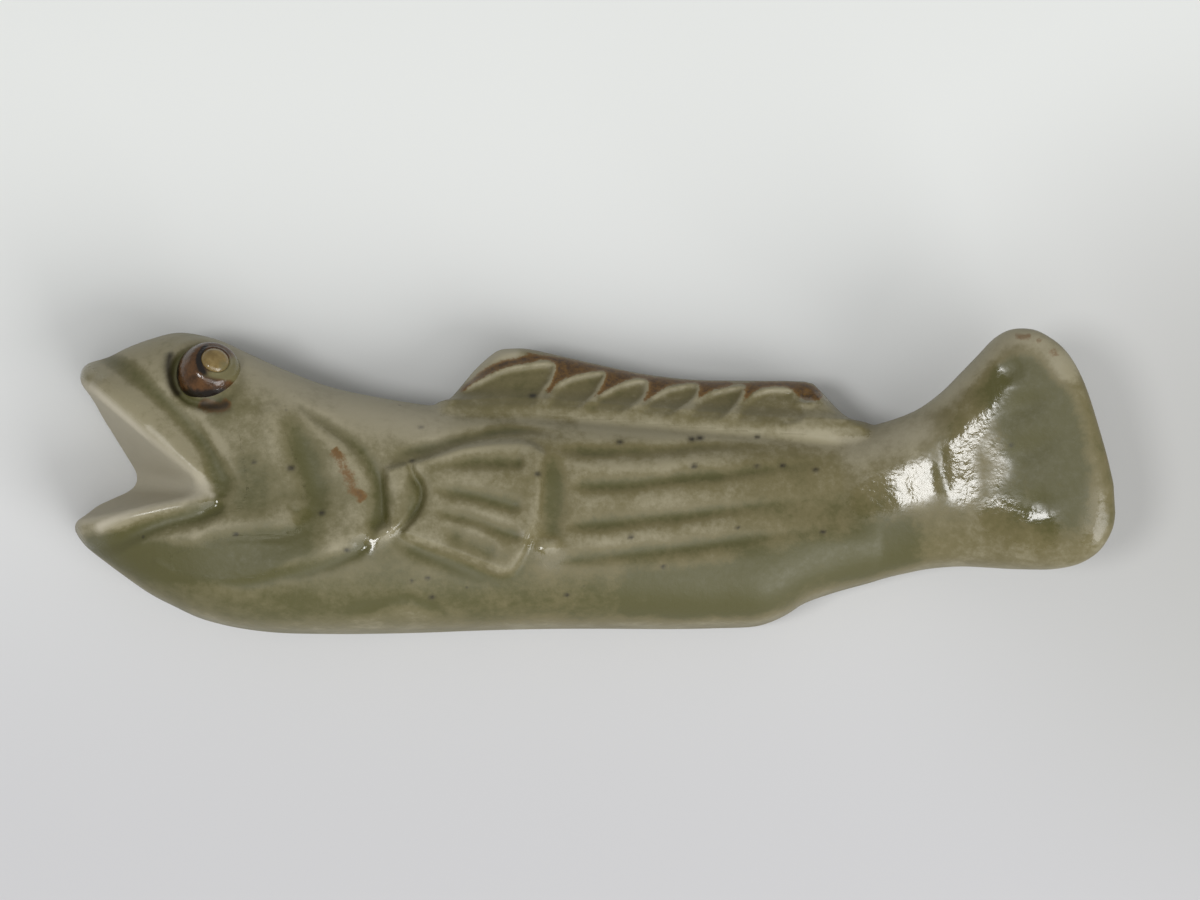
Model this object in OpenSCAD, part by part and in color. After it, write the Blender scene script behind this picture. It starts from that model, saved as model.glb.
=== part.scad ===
// Chopstick rest: a fish pressed from clay that lies on its side, with an open mouth
// and a raised tail. The chopsticks lie across its back, just before the tail.
// +Z is up, the head points to -X and the back fin to +Y. The table is at zero.

/* [Body] */
// Length from the jaw tip to the edge of the tail
fish_length = 75; // [60:1:95]
// Depth from the belly to the top of the head
fish_depth = 22; // [18:0.5:28]
// Thickness of the head and trunk
trunk_thickness = 10.5; // [8.5:0.5:14]
// How far the edge of the tail is lifted off the table
tail_lift = 10.4; // [7:0.2:14]
// Angle that the tail is rolled towards the belly
tail_roll = 15; // [0:1:20]

/* [Mouth] */
// Gap between the lips at the jaw tips
mouth_gape = 11.4; // [9:0.2:11.6]
// Gap between the jaw tips at the table
mouth_floor_gape = 8.8; // [7:0.2:9.6]
// How far back from the jaw tip the lips meet
mouth_reach = 10.4; // [8:0.2:11]
// How far back from the jaw tip the mouth reaches at the table
mouth_floor_reach = 4; // [3:0.2:5]

/* [Eye] */
// Radius of the clay ball
eye_r = 2.4; // [2:0.1:2.8]
// Height of the ball above the head around it
eye_stand = 1.5; // [1:0.1:2]
// Radius of the pupil disc
pupil_r = 1.1; // [0.8:0.1:1.4]
// Height of the pupil above the ball
pupil_stand = 0.15; // [0.1:0.05:0.3]

/* [Head plates] */
// Height of the cheek plate's lower ridge above the head
cheek_stand = 0.5; // [0.2:0.1:0.9]
// Height of the gill cover's rear edge above the trunk
gill_stand = 0.7; // [0.3:0.1:1.1]
// Depth of the crescent groove between the two
crescent_depth = 0.6; // [0.2:0.1:1]

/* [Fins] */
// Height of the pectoral fin above the flank
pectoral_stand = 0.9; // [0.5:0.1:1.4]
// Bulge of the pectoral fin's rear edge
pectoral_bow = 0.8; // [0.2:0.1:1.2]
// Depth of the grooves between its rays
ray_depth = 0.45; // [0.1:0.05:0.6]
// Thickness of the back fin at its crest
crest_thickness = 2.6; // [2:0.1:3.4]
// Thickness of the back fin where it joins the back
fin_base_thickness = 5; // [4:0.1:6]
// Height of the back fin's rays above its web
fin_ray_stand = 0.6; // [0.2:0.1:0.9]

/* [Tool strokes] */
// Radius of the round tool that draws the lip grooves
wide_tool_r = 1; // [0.7:0.1:1.3]
// Radius of the tool that draws the flank lines
fine_tool_r = 0.6; // [0.4:0.1:0.9]
// Depth of the lip grooves
lip_groove_depth = 0.5; // [0.3:0.1:0.7]
// Depth of the flank lines
flank_line_depth = 0.35; // [0.2:0.05:0.5]

/* [Hidden] */

// Clearance of the eye in its socket, and of the pupil in the ball
seat_gap = 0.03;
// Overrun of a cut past the face that it opens
overrun = 1;
// How far the pockets of two plates that touch reach into each other
pocket_overlap = 0.3;
// Height of the flat bed that the cheek plate and the pectoral fin are laid on, and the
// step up from it to the beds of the gill cover and the fin root beside them
bed_height = 0.6 * trunk_thickness;
bed_step = 0.4;
// Power of the rounded cross-section: 2 is an ellipse, more is squarer
roundness = 2.5;
// Depth that the back fin reaches into the trunk
fin_embed = 1.4;
// Height of the middle of the back fin above the table, at its root and at its crest
fin_root_height = 0.48 * trunk_thickness;
fin_crest_height = 0.42 * trunk_thickness;
// Share of a plate's width over which its edge stands up before it is rounded
edge_share = 0.1;
// Place of the upper lip's tip, and of the corner of the mouth below it
upper_lip_share = 0.335;
mouth_corner_share = 0.77;
// Facets over and under the body, between two ribs, and across the pectoral fin
upper_steps = 24;
lower_steps = 8;
rib_steps = 2;
fan_steps = 24;

// Ribs across the fish, from the jaw tip to the tail edge: a point on the back and a
// point on the belly, as shares of the length from the tip and of the depth from the
// middle, and how full the section is there.
rib_shares = [
    [0.000, 0.368, 0.000, -0.188, 0.45],
    [0.008, 0.393, 0.006, -0.200, 0.74],
    [0.030, 0.417, 0.028, -0.257, 0.92],
    [0.051, 0.450, 0.052, -0.317, 0.98],
    [0.075, 0.480, 0.075, -0.370, 1],
    [0.098, 0.499, 0.098, -0.410, 1],
    [0.119, 0.493, 0.120, -0.445, 1],
    [0.143, 0.470, 0.143, -0.468, 1],
    [0.165, 0.435, 0.165, -0.483, 1],
    [0.188, 0.398, 0.188, -0.493, 1],
    [0.210, 0.365, 0.210, -0.498, 1],
    [0.244, 0.320, 0.244, -0.500, 1],
    [0.280, 0.289, 0.280, -0.500, 1],
    [0.338, 0.255, 0.338, -0.496, 1],
    [0.400, 0.233, 0.400, -0.488, 1],
    [0.460, 0.220, 0.460, -0.483, 1],
    [0.520, 0.208, 0.520, -0.482, 1],
    [0.580, 0.197, 0.580, -0.483, 1],
    [0.630, 0.187, 0.630, -0.480, 1],
    [0.668, 0.181, 0.668, -0.473, 1],
    [0.694, 0.177, 0.694, -0.440, 1],
    [0.715, 0.174, 0.715, -0.396, 1],
    [0.745, 0.173, 0.745, -0.360, 1],
    [0.775, 0.182, 0.775, -0.333, 1],
    [0.800, 0.200, 0.796, -0.313, 1],
    [0.822, 0.226, 0.815, -0.300, 1],
    [0.843, 0.273, 0.832, -0.290, 1],
    [0.860, 0.327, 0.850, -0.286, 1],
    [0.876, 0.380, 0.868, -0.287, 1],
    [0.890, 0.426, 0.888, -0.295, 1],
    [0.905, 0.447, 0.908, -0.304, 1],
    [0.924, 0.440, 0.926, -0.310, 1],
    [0.939, 0.411, 0.942, -0.314, 0.98],
    [0.952, 0.371, 0.957, -0.311, 0.95],
    [0.963, 0.315, 0.970, -0.301, 0.90],
    [0.973, 0.238, 0.982, -0.279, 0.82],
    [0.983, 0.132, 0.991, -0.247, 0.70],
    [0.992, 0.026, 0.998, -0.198, 0.50],
    [0.998, -0.060, 1.000, -0.152, 0.25],
];

// Heights along the fish as shares of the trunk's thickness: the widest level, the
// crown, and how far the section would reach below the table that cuts it flat. The
// last two columns are the shares of the tail's lift and of its roll.
height_shares = [
    [0.00, 0.42, 0.84, 0.20, 0, 0],
    [0.05, 0.43, 0.90, 0.25, 0, 0],
    [0.10, 0.44, 0.94, 0.25, 0, 0],
    [0.20, 0.45, 1.00, 0.25, 0, 0],
    [0.30, 0.45, 1.00, 0.25, 0, 0],
    [0.40, 0.45, 0.98, 0.25, 0, 0],
    [0.50, 0.44, 0.96, 0.25, 0, 0],
    [0.60, 0.43, 0.92, 0.25, 0, 0],
    [0.70, 0.41, 0.87, 0.20, 0, 0],
    [0.75, 0.40, 0.83, 0.10, 0.01, 0.10],
    [0.80, 0.37, 0.75, 0.00, 0.12, 0.40],
    [0.85, 0.31, 0.62, 0.00, 0.34, 0.80],
    [0.90, 0.25, 0.49, 0.00, 0.60, 1],
    [0.95, 0.20, 0.39, 0.00, 0.83, 1],
    [1.00, 0.16, 0.32, 0.00, 1.00, 1],
];
// Place across the fish of the line that the tail is rolled about
roll_axis_share = 0.05;

// Grooves drawn in the wet clay, as shares of the length and the depth
lip_groove_shares = [
    [0.046, 0.385], [0.084, 0.262], [0.116, 0.142], [0.139, 0.037], [0.152, -0.045],
];
jaw_groove_shares = [[0.036, -0.215], [0.062, -0.187], [0.094, -0.148], [0.125, -0.125]];
gill_crease_shares = [
    [0.246, 0.215], [0.275, 0.125], [0.298, 0.030], [0.305, -0.070],
    [0.304, -0.170], [0.280, -0.285], [0.210, -0.345], [0.135, -0.335],
];
brow_line_shares = [
    [0.300, 0.070], [0.324, 0.079], [0.353, 0.105], [0.389, 0.128], [0.435, 0.141], [0.475, 0.134],
];
flank_line_shares = [
    [[0.470, 0.110], [0.470, -0.070], [0.462, -0.300]],
    [[0.474, 0.069], [0.540, 0.072], [0.612, 0.080], [0.675, 0.076]],
    [[0.477, -0.055], [0.539, -0.042], [0.591, -0.024], [0.643, -0.019], [0.726, 0.036]],
    [[0.477, -0.186], [0.540, -0.173], [0.602, -0.144], [0.653, -0.138], [0.705, -0.102]],
    [[0.477, -0.266], [0.540, -0.259], [0.602, -0.236], [0.664, -0.214], [0.727, -0.197]],
];
tail_line_shares = [
    [[0.879, 0.270], [0.895, 0.305], [0.922, 0.340]],
    [[0.883, 0.146], [0.903, 0.178], [0.939, 0.210]],
    [[0.891, 0.030], [0.930, 0.046], [0.956, 0.078]],
    [[0.892, -0.111], [0.921, -0.127], [0.957, -0.175]],
];

// Edges of the plates laid on the body, as shares of the length and the depth. The
// gill cover starts where the cheek plate ends.
cheek_front_shares = [
    [0.160, 0.215], [0.168, 0.120], [0.175, 0.030], [0.180, -0.050],
    [0.172, -0.110], [0.145, -0.132], [0.118, -0.155], [0.098, -0.190],
];
cheek_rear_shares = [
    [0.203, 0.200], [0.215, 0.120], [0.223, 0.045], [0.230, -0.040],
    [0.232, -0.120], [0.222, -0.168], [0.165, -0.180], [0.104, -0.212],
];
gill_rear_shares = [
    [0.232, 0.205], [0.263, 0.125], [0.285, 0.040], [0.295, -0.060],
    [0.296, -0.160], [0.268, -0.266], [0.200, -0.325], [0.120, -0.305],
];
root_front_shares = [[0.310, 0.010], [0.310, -0.060], [0.313, -0.130], [0.319, -0.196]];
pectoral_top_shares = [
    [0.334, 0.030], [0.352, 0.050], [0.380, 0.072], [0.410, 0.088], [0.440, 0.090], [0.457, 0.062],
];
pectoral_low_shares = [
    [0.330, -0.205], [0.341, -0.236], [0.363, -0.268], [0.390, -0.300], [0.416, -0.326], [0.434, -0.320],
];
// Places of the grooves between the rays, across the pectoral fin
ray_groove_shares = [0.12, 0.33, 0.58, 0.86];
ray_width_share = 0.06;
fin_base_shares = [
    [0.362, 0.212], [0.377, 0.208], [0.394, 0.204], [0.415, 0.198], [0.450, 0.190], [0.515, 0.176],
    [0.590, 0.162], [0.655, 0.151], [0.712, 0.145], [0.735, 0.142], [0.757, 0.142],
];
fin_crest_shares = [
    [0.362, 0.246], [0.377, 0.314], [0.394, 0.380], [0.415, 0.436], [0.450, 0.440], [0.515, 0.390],
    [0.590, 0.347], [0.655, 0.337], [0.712, 0.334], [0.735, 0.285], [0.757, 0.205],
];
fin_rays = 7;
eye_shares = [0.134, 0.343];
// Way that the pupil looks out of the ball
pupil_look = [0.37, 0.33, 0.87];

// Smooth curve through rows of numbers, in steps between each two of them
function between(a, b, c, d, t) =
    b + (c - a) * t / 2
    + (2 * a - 5 * b + 4 * c - d) * t * t / 2
    + (3 * b - a - 3 * c + d) * t * t * t / 2;
function smooth(rows, steps) = let (last = len(rows) - 1) [
    for (i = [0 : last - 1]) for (k = [0 : steps - 1])
        between(rows[max(i - 1, 0)], rows[i], rows[i + 1], rows[min(i + 2, last)], k / steps),
    rows[last],
];
function column(rows, at, value) = [for (row = rows) [row[at], row[value]]];
function signed_power(value, power) = sign(value) * pow(abs(value), power);

ribs = smooth(rib_shares, rib_steps);
heights = smooth(height_shares, rib_steps);
back_line = column(ribs, 0, 1);
belly_line = column(ribs, 2, 3);
waist_line = column(heights, 0, 1);
crown_line = column(heights, 0, 2);
sink_line = column(heights, 0, 3);
lift_line = column(heights, 0, 4);
roll_line = column(heights, 0, 5);

// Plan position, in millimetres, of a place given in shares
function place(shares) = [(shares[0] - 0.5) * fish_length, shares[1] * fish_depth];
// How far the tail's lift and roll raise a place
function lift(shares) =
    lookup(shares[0], lift_line) * tail_lift
    + lookup(shares[0], roll_line) * tan(tail_roll) * (shares[1] - roll_axis_share) * fish_depth;
function waist(x) = lookup(x, waist_line) * trunk_thickness;
function crown(x) = lookup(x, crown_line) * trunk_thickness;
function sink(x) = lookup(x, sink_line) * trunk_thickness;

// Height of the upper skin over a place given in shares
function skin(shares) =
    let (back = lookup(shares[0], back_line))
    let (belly = lookup(shares[0], belly_line))
    let (off = min(abs(2 * shares[1] - back - belly) / (back - belly), 1))
    let (rise = pow(1 - pow(off, roundness), 1 / roundness))
    lift(shares) + waist(shares[0]) + (crown(shares[0]) - waist(shares[0])) * rise;

// Rounded cross-section along one rib, cut flat by the table
angles = [
    for (i = [0 : upper_steps]) 180 * i / upper_steps,
    for (i = [1 : lower_steps - 1]) 180 + 180 * i / lower_steps,
];
function section(rib) =
    let (middle = [rib[0] + rib[2], rib[1] + rib[3]] / 2)
    let (half = [rib[0] - rib[2], rib[1] - rib[3]] / 2)
    [
        for (a = angles)
            let (side = signed_power(cos(a), 2 / roundness))
            let (rise = signed_power(sin(a), 2 / roundness) * rib[4])
            let (at = middle + half * side)
            let (x = at[0])
            let (reach = rise > 0 ? crown(x) - waist(x) : waist(x) + sink(x))
            concat(place(at), max(0, lift(at) + waist(x) + reach * rise))
    ];

module body_blank() {
    rings = [for (rib = ribs) section(rib)];
    around = len(angles);
    last = (len(rings) - 1) * around;
    polyhedron(
        points = [for (ring = rings) for (p = ring) p],
        faces = [
            [for (i = [0 : around - 1]) i],
            for (k = [0 : around : last - 1]) for (i = [0 : around - 1])
                let (j = (i + 1) % around)
                each [[k + i, k + around + i, k + j], [k + j, k + around + i, k + around + j]],
            [for (i = [around - 1 : -1 : 0]) last + i],
        ]
    );
}

// Outline of the open mouth at a level: a wedge that widens and deepens upwards, from
// the table to the lips. Its corner is the place where the two lips meet.
lip_level = crown(0.05);
function mouth_outline(level) =
    let (tip = -fish_length / 2)
    let (upper = upper_lip_share * fish_depth)
    let (rise = level / lip_level)
    let (gape = mouth_floor_gape + (mouth_gape - mouth_floor_gape) * rise)
    let (reach = mouth_floor_reach + (mouth_reach - mouth_floor_reach) * rise)
    let (corner = upper - gape * mouth_corner_share)
    [
        [tip - overrun, upper], [tip, upper], [tip + reach, corner],
        [tip, upper - gape], [tip - overrun, upper - gape],
    ];

module mouth() {
    hull()
        for (level = [-overrun, lip_level + 2 * overrun])
            translate([0, 0, level])
                linear_extrude(seat_gap) polygon(mouth_outline(level));
}

// A groove that a round tool draws along a path, fading out at both ends
module stroke(path_shares, tool_r, depth, steps = 1) {
    path = smooth(path_shares, steps);
    last = len(path) - 1;
    for (i = [0 : last - 1])
        hull()
            for (k = [i, i + 1])
                let (press = depth * (0.4 + 0.6 * sin(180 * k / last)))
                translate(concat(place(path[k]), skin(path[k]) + tool_r - press))
                    sphere(r = tool_r, $fn = 8);
}

// A plate between two edges, near and far, which are lists of places in shares. Its
// upper and lower sides are functions of the share u along the edges, the share v from
// near to far, and the place. The bow is how far a point is moved along the fish.
module plate(near, far, across, top, bottom, bow = function (u, v) 0) {
    last = len(near) - 1;
    row = across + 1;
    side = row * (last + 1);
    grid = [
        for (i = [0 : last]) for (j = [0 : across])
            [i / last, j / across, near[i] + (far[i] - near[i]) * j / across],
    ];
    flat = [for (g = grid) place(g[2]) + [bow(g[0], g[1]), 0]];
    over = [for (k = [0 : side - 1]) let (g = grid[k]) concat(flat[k], top(g[0], g[1], g[2]))];
    under = [for (k = [0 : side - 1]) let (g = grid[k]) concat(flat[k], bottom(g[0], g[1], g[2]))];
    rim = concat(
        [for (j = [0 : across - 1]) j],
        [for (i = [0 : last - 1]) i * row + across],
        [for (j = [across : -1 : 1]) last * row + j],
        [for (i = [last : -1 : 1]) i * row]
    );
    polyhedron(
        points = concat(over, under),
        faces = [
            for (i = [0 : last - 1]) for (j = [0 : across - 1])
                let (a = i * row + j, b = a + 1, c = a + row, d = c + 1)
                each [[a, b, c], [b, d, c], [side + a, side + c, side + b], [side + b, side + c, side + d]],
            for (i = [0 : len(rim) - 1])
                let (a = rim[i], b = rim[(i + 1) % len(rim)])
                each [[a, side + a, b], [b, side + a, side + b]],
        ]
    );
}

// Rise of a soft rounded edge: 0 at the edge and 1 from its width inwards
function rounded(inwards, width) = sqrt(1 - pow(1 - min(inwards / width, 1), 2));
// A soft bump that is 1 in its middle
function bump(value, middle, width) = exp(-pow((value - middle) / width, 2));

// The underside of a plate that lies flat on a bed at this height
function flat_on(height) = function (u, v, at) height;

// An edge moved by a plan distance, most in its middle and not at its ends. The pocket
// of a plate reaches this far into the pocket of the plate next to it.
function spread(edge, distance) = let (last = len(edge) - 1) [
    for (k = [0 : last])
        edge[k] + sin(180 * k / last) * [distance[0] / fish_length, distance[1] / fish_depth],
];

// The cheek plate rises from the lips to a ridge along its rear and lower edge
module cheek_shape() {
    ridge = function (u, v, at)
        skin(at) + cheek_stand * (0.1 + 0.9 * v) * rounded(1 - v + edge_share, 0.5);
    plate(smooth(cheek_front_shares, 3), smooth(cheek_rear_shares, 3), 7, ridge, flat_on(bed_height));
}

// The gill cover dips in a crescent behind the cheek and rises to its rear edge
module gill_shape(overlap = 0) {
    cover = function (u, v, at)
        skin(at) + gill_stand * rounded(1 - v + edge_share, 0.4)
        - crescent_depth * bump(v, 0.2, 0.2) * rounded(1 - u, 0.6);
    front = spread(smooth(cheek_rear_shares, 3), [-overlap, overlap]);
    plate(front, smooth(gill_rear_shares, 3), 9, cover, flat_on(bed_height + bed_step));
}

// The fin's rays run from its root to its rear edge, with grooves pressed between them
module pectoral_shape() {
    rays = function (u, v, at)
        skin(at)
        + pectoral_stand * rounded(min(v, 1 - v) + edge_share / 3, 0.12)
        * rounded(1 - u + edge_share / 3, 0.15)
        - ray_depth * rounded(min(u, 1 - u), 0.25)
        * max([for (groove = ray_groove_shares) bump(v, groove, ray_width_share)]);
    bulge = function (u, v) pectoral_bow * sin(180 * v);
    low = smooth(pectoral_low_shares, 3);
    plate(low, smooth(pectoral_top_shares, 3), fan_steps, rays, flat_on(bed_height), bulge);
}

// The fin root is a pad that ends at the fin's own front edge and shares its bulge
module root_shape(overlap = 0) {
    top = pectoral_top_shares[0];
    low = pectoral_low_shares[0];
    pad = function (u, v, at)
        skin(at)
        + pectoral_stand * rounded(v + edge_share, 0.5) * rounded(min(u, 1 - u) + edge_share / 2, 0.3)
        - ray_depth * bump(v, 0.8, 0.2);
    bulge = function (u, v) pectoral_bow * sin(180 * u) * v;
    fin_edge = [for (k = [0 : fan_steps]) top + (low - top) * k / fan_steps];
    rear = spread(fin_edge, [overlap, 0]);
    front = smooth(root_front_shares, fan_steps / 3);
    plate(front, rear, 6, pad, flat_on(bed_height + bed_step), bulge);
}

// The back fin thins from the trunk to its crest. Each ray rises towards the tail and
// drops off to the next one, and all lean back.
module dorsal_shape() {
    middle = function (v) fin_root_height + (fin_crest_height - fin_root_height) * v;
    half = function (v)
        (fin_base_thickness + (crest_thickness - fin_base_thickness) * v) / 2
        * rounded(1 - v + edge_share, 0.3);
    upper = function (u, v, at)
        let (phase = u * fin_rays - v)
        middle(v) + half(v)
        + fin_ray_stand * (phase - floor(phase) - 0.5) * rounded(1 - v, 0.5) * rounded(v, 0.5);
    lower = function (u, v, at) middle(v) - half(v);
    inner = [for (row = fin_base_shares) row - [0, fin_embed / fish_depth]];
    plate(smooth(inner, 6), smooth(fin_crest_shares, 6), 8, upper, lower);
}

module eye_place() {
    at = place(eye_shares);
    translate([at[0], at[1], skin(eye_shares) + eye_stand - eye_r]) children();
}
module look_out() {
    tilt = acos(pupil_look[2] / norm(pupil_look));
    turn = atan2(pupil_look[1], pupil_look[0]);
    rotate([0, tilt, turn]) children();
}

module fish_body() {
    color("#6f6a4d") difference() {
        body_blank();
        mouth();
        stroke(lip_groove_shares, wide_tool_r, lip_groove_depth, 2);
        stroke(jaw_groove_shares, wide_tool_r, lip_groove_depth, 2);
        stroke(gill_crease_shares, fine_tool_r, flank_line_depth, 2);
        stroke(brow_line_shares, fine_tool_r, flank_line_depth);
        for (line = flank_line_shares) stroke(line, fine_tool_r, flank_line_depth);
        for (line = tail_line_shares) stroke(line, wide_tool_r, flank_line_depth);
        cheek_shape();
        gill_shape(pocket_overlap);
        root_shape(pocket_overlap);
        pectoral_shape();
        dorsal_shape();
        eye_place() sphere(r = eye_r + seat_gap, $fn = 48);
    }
}
module cheek_plate() {
    color("#7c765a") cheek_shape();
}
module gill_cover() {
    color("#857b58") gill_shape();
}
module fin_root() {
    color("#8a8263") root_shape();
}
module pectoral_fin() {
    color("#7b7454") pectoral_shape();
}
module dorsal_fin() {
    color("#66573c") dorsal_shape();
}
module eyeball() {
    color("#55432d") eye_place() difference() {
        sphere(r = eye_r, $fn = 48);
        look_out() cylinder(r = pupil_r + seat_gap, h = eye_r + overrun, $fn = 48);
    }
}
module pupil() {
    color("#8d7444") eye_place() look_out() intersection() {
        cylinder(r = pupil_r, h = eye_r + overrun, $fn = 48);
        sphere(r = eye_r + pupil_stand, $fn = 48);
    }
}

fish_body();
cheek_plate();
gill_cover();
fin_root();
pectoral_fin();
dorsal_fin();
eyeball();
pupil();
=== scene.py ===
# %% [markdown]
# # A celadon fish to rest chopsticks on
# The real object is a fish of pressed clay, about 75 mm long, that lies on its side with
# its mouth open and its tail raised. It is fired once with a thick green-grey glaze, which
# runs thin and beige over each ridge and pools olive in each groove.
#
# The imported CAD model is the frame. Each of its eight clay elements is modelled again here
# with the soft relief that fingers and a wooden tool leave, and stands for its CAD node.
# All lengths are in millimetres until a mesh is made.

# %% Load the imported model
from functools import partial

import bpy
import numpy as np
from mathutils import Matrix, Vector


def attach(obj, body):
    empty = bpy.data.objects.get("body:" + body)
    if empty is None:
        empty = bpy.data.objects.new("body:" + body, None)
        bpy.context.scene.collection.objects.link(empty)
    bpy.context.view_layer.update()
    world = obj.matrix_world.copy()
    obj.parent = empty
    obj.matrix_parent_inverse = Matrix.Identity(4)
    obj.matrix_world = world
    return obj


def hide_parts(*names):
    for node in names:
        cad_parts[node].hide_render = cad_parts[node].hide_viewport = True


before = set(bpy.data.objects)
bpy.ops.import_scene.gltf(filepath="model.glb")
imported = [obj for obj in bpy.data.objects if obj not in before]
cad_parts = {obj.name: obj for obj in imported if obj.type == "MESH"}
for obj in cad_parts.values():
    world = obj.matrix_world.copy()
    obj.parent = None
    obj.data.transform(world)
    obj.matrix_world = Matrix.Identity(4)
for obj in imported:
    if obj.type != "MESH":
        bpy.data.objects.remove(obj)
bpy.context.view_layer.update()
MM = 0.001
print("CAD nodes:", sorted(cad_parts))

# %% [markdown]
# ## The camera
# The photograph looks down at 80 degrees from the belly's side. The camera comes first,
# because the strokes on the clay are traced where the photograph shows them: a place is a
# pixel of its 1200 x 900 frame, and `trace` finds the point of the clay behind it.

# %% Camera values and the trace from a pixel to the clay
PHOTO_WIDE, PHOTO_HIGH = 1200, 900
CAMERA_ELEVATION = np.radians(80)
CAMERA_DISTANCE = 200.0
LOOK_AT = np.array([1.03, 2.30, 5.0])
PIXELS_PER_MM = 13.64
SENSOR_MM = 36.0

right = np.array([1.0, 0.0, 0.0])
up = np.array([0.0, np.sin(CAMERA_ELEVATION), np.cos(CAMERA_ELEVATION)])
ahead = np.array([0.0, np.cos(CAMERA_ELEVATION), -np.sin(CAMERA_ELEVATION)])
eye_point = LOOK_AT - CAMERA_DISTANCE * ahead
focal_px = PIXELS_PER_MM * CAMERA_DISTANCE


def trace(pixels, height):
    """Plan points in mm where the sight lines through these pixels meet the height."""
    p = np.array(pixels, float)
    ray = (
        ahead
        + np.outer((p[:, 0] - PHOTO_WIDE / 2) / focal_px, right)
        - np.outer((p[:, 1] - PHOTO_HIGH / 2) / focal_px, up)
    )
    z = np.full(len(p), LOOK_AT[2])
    for _ in range(8):
        at = eye_point + ray * ((z - eye_point[2]) / ray[:, 2])[:, None]
        z = height(at[:, 0], at[:, 1]) if callable(height) else np.full(len(p), float(height))
    return at[:, :2]


def add_object(name, data):
    thing = bpy.data.objects.new(name, data)
    bpy.context.scene.collection.objects.link(thing)
    return thing


camera = add_object("camera", bpy.data.cameras.new("camera"))
camera.matrix_world = Matrix.Translation(Vector(eye_point) * MM) @ Matrix(
    (right, up, -ahead)
).transposed().to_4x4()
camera.data.sensor_width = SENSOR_MM
camera.data.lens = SENSOR_MM * focal_px / PHOTO_WIDE
camera.data.clip_start = 0.01
bpy.context.scene.camera = camera
print(f"lens {camera.data.lens:.1f} mm")

# %% [markdown]
# ## The fish's main form
# These sizes and tables are those of the CAD source, because a script can't read that
# file. A row of RIBS is a point on the back and a point on the belly, in shares of the
# length and the depth. A row of HEIGHTS is a place along the fish, and there the widest
# level, the crown and how far the section would reach below the table, in shares of the
# trunk's height, and then the shares of the tail's lift and roll.

# %% Sizes and tables of the form
LENGTH, DEPTH, TRUNK = 75.0, 22.0, 10.5
TAIL_LIFT, TAIL_ROLL, ROLL_AXIS = 10.4, np.tan(np.radians(15)), 0.05
RIBS = [
    (0.000, 0.368, 0.000, -0.188), (0.008, 0.393, 0.006, -0.200),
    (0.030, 0.417, 0.028, -0.257), (0.051, 0.450, 0.052, -0.317),
    (0.075, 0.480, 0.075, -0.370), (0.098, 0.499, 0.098, -0.410),
    (0.119, 0.493, 0.120, -0.445), (0.143, 0.470, 0.143, -0.468),
    (0.165, 0.435, 0.165, -0.483), (0.188, 0.398, 0.188, -0.493),
    (0.210, 0.365, 0.210, -0.498), (0.244, 0.320, 0.244, -0.500),
    (0.280, 0.289, 0.280, -0.500), (0.338, 0.255, 0.338, -0.496),
    (0.400, 0.233, 0.400, -0.488), (0.460, 0.220, 0.460, -0.483),
    (0.520, 0.208, 0.520, -0.482), (0.580, 0.197, 0.580, -0.483),
    (0.630, 0.187, 0.630, -0.480), (0.668, 0.181, 0.668, -0.473),
    (0.694, 0.177, 0.694, -0.440), (0.715, 0.174, 0.715, -0.396),
    (0.745, 0.173, 0.745, -0.360), (0.775, 0.182, 0.775, -0.333),
    (0.800, 0.200, 0.796, -0.313), (0.822, 0.226, 0.815, -0.300),
    (0.843, 0.273, 0.832, -0.290), (0.860, 0.327, 0.850, -0.286),
    (0.876, 0.380, 0.868, -0.287), (0.890, 0.426, 0.888, -0.295),
    (0.905, 0.447, 0.908, -0.304), (0.924, 0.440, 0.926, -0.310),
    (0.939, 0.411, 0.942, -0.314), (0.952, 0.371, 0.957, -0.311),
    (0.963, 0.315, 0.970, -0.301), (0.973, 0.238, 0.982, -0.279),
    (0.983, 0.132, 0.991, -0.247), (0.992, 0.026, 0.998, -0.198),
    (0.998, -0.060, 1.000, -0.152),
]
HEIGHTS = [
    (0.00, 0.42, 0.84, 0.20, 0, 0), (0.05, 0.43, 0.90, 0.25, 0, 0),
    (0.10, 0.44, 0.94, 0.25, 0, 0), (0.20, 0.45, 1.00, 0.25, 0, 0),
    (0.30, 0.45, 1.00, 0.25, 0, 0), (0.40, 0.45, 0.98, 0.25, 0, 0),
    (0.50, 0.44, 0.96, 0.25, 0, 0), (0.60, 0.43, 0.92, 0.25, 0, 0),
    (0.70, 0.41, 0.87, 0.20, 0, 0), (0.75, 0.40, 0.83, 0.10, 0.01, 0.10),
    (0.80, 0.37, 0.75, 0.00, 0.12, 0.40), (0.85, 0.31, 0.62, 0.00, 0.34, 0.80),
    (0.90, 0.25, 0.49, 0.00, 0.60, 1), (0.95, 0.20, 0.39, 0.00, 0.83, 1),
    (1.00, 0.16, 0.32, 0.00, 1.00, 1),
]
# How far from its outline the fish is rounded, at places along it
ROUNDING = [(-37.5, 5.0), (-30, 6.5), (10, 6.5), (17, 5.4), (25, 4.6), (30, 3.8), (37.5, 3.4)]
ROUNDNESS = 2.4


def smooth(rows, steps):
    """A Catmull-Rom curve through rows of numbers."""
    r = np.array(rows, float)
    a, b, c, d = np.vstack([r[:1], r[:-2]]), r[:-1], r[1:], np.vstack([r[2:], r[-1:]])
    t = (np.arange(steps) / steps)[None, :, None]
    a, b, c, d = (v[:, None, :] for v in (a, b, c, d))
    curve = (
        b
        + (c - a) * t / 2
        + (2 * a - 5 * b + 4 * c - d) * t**2 / 2
        + (3 * b - a - 3 * c + d) * t**3 / 2
    )
    return np.vstack([curve.reshape(-1, r.shape[1]), r[-1:]])


def ease(t):
    """0 to 1 with soft ends."""
    t = np.clip(t, 0, 1)
    return t * t * (3 - 2 * t)


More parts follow.
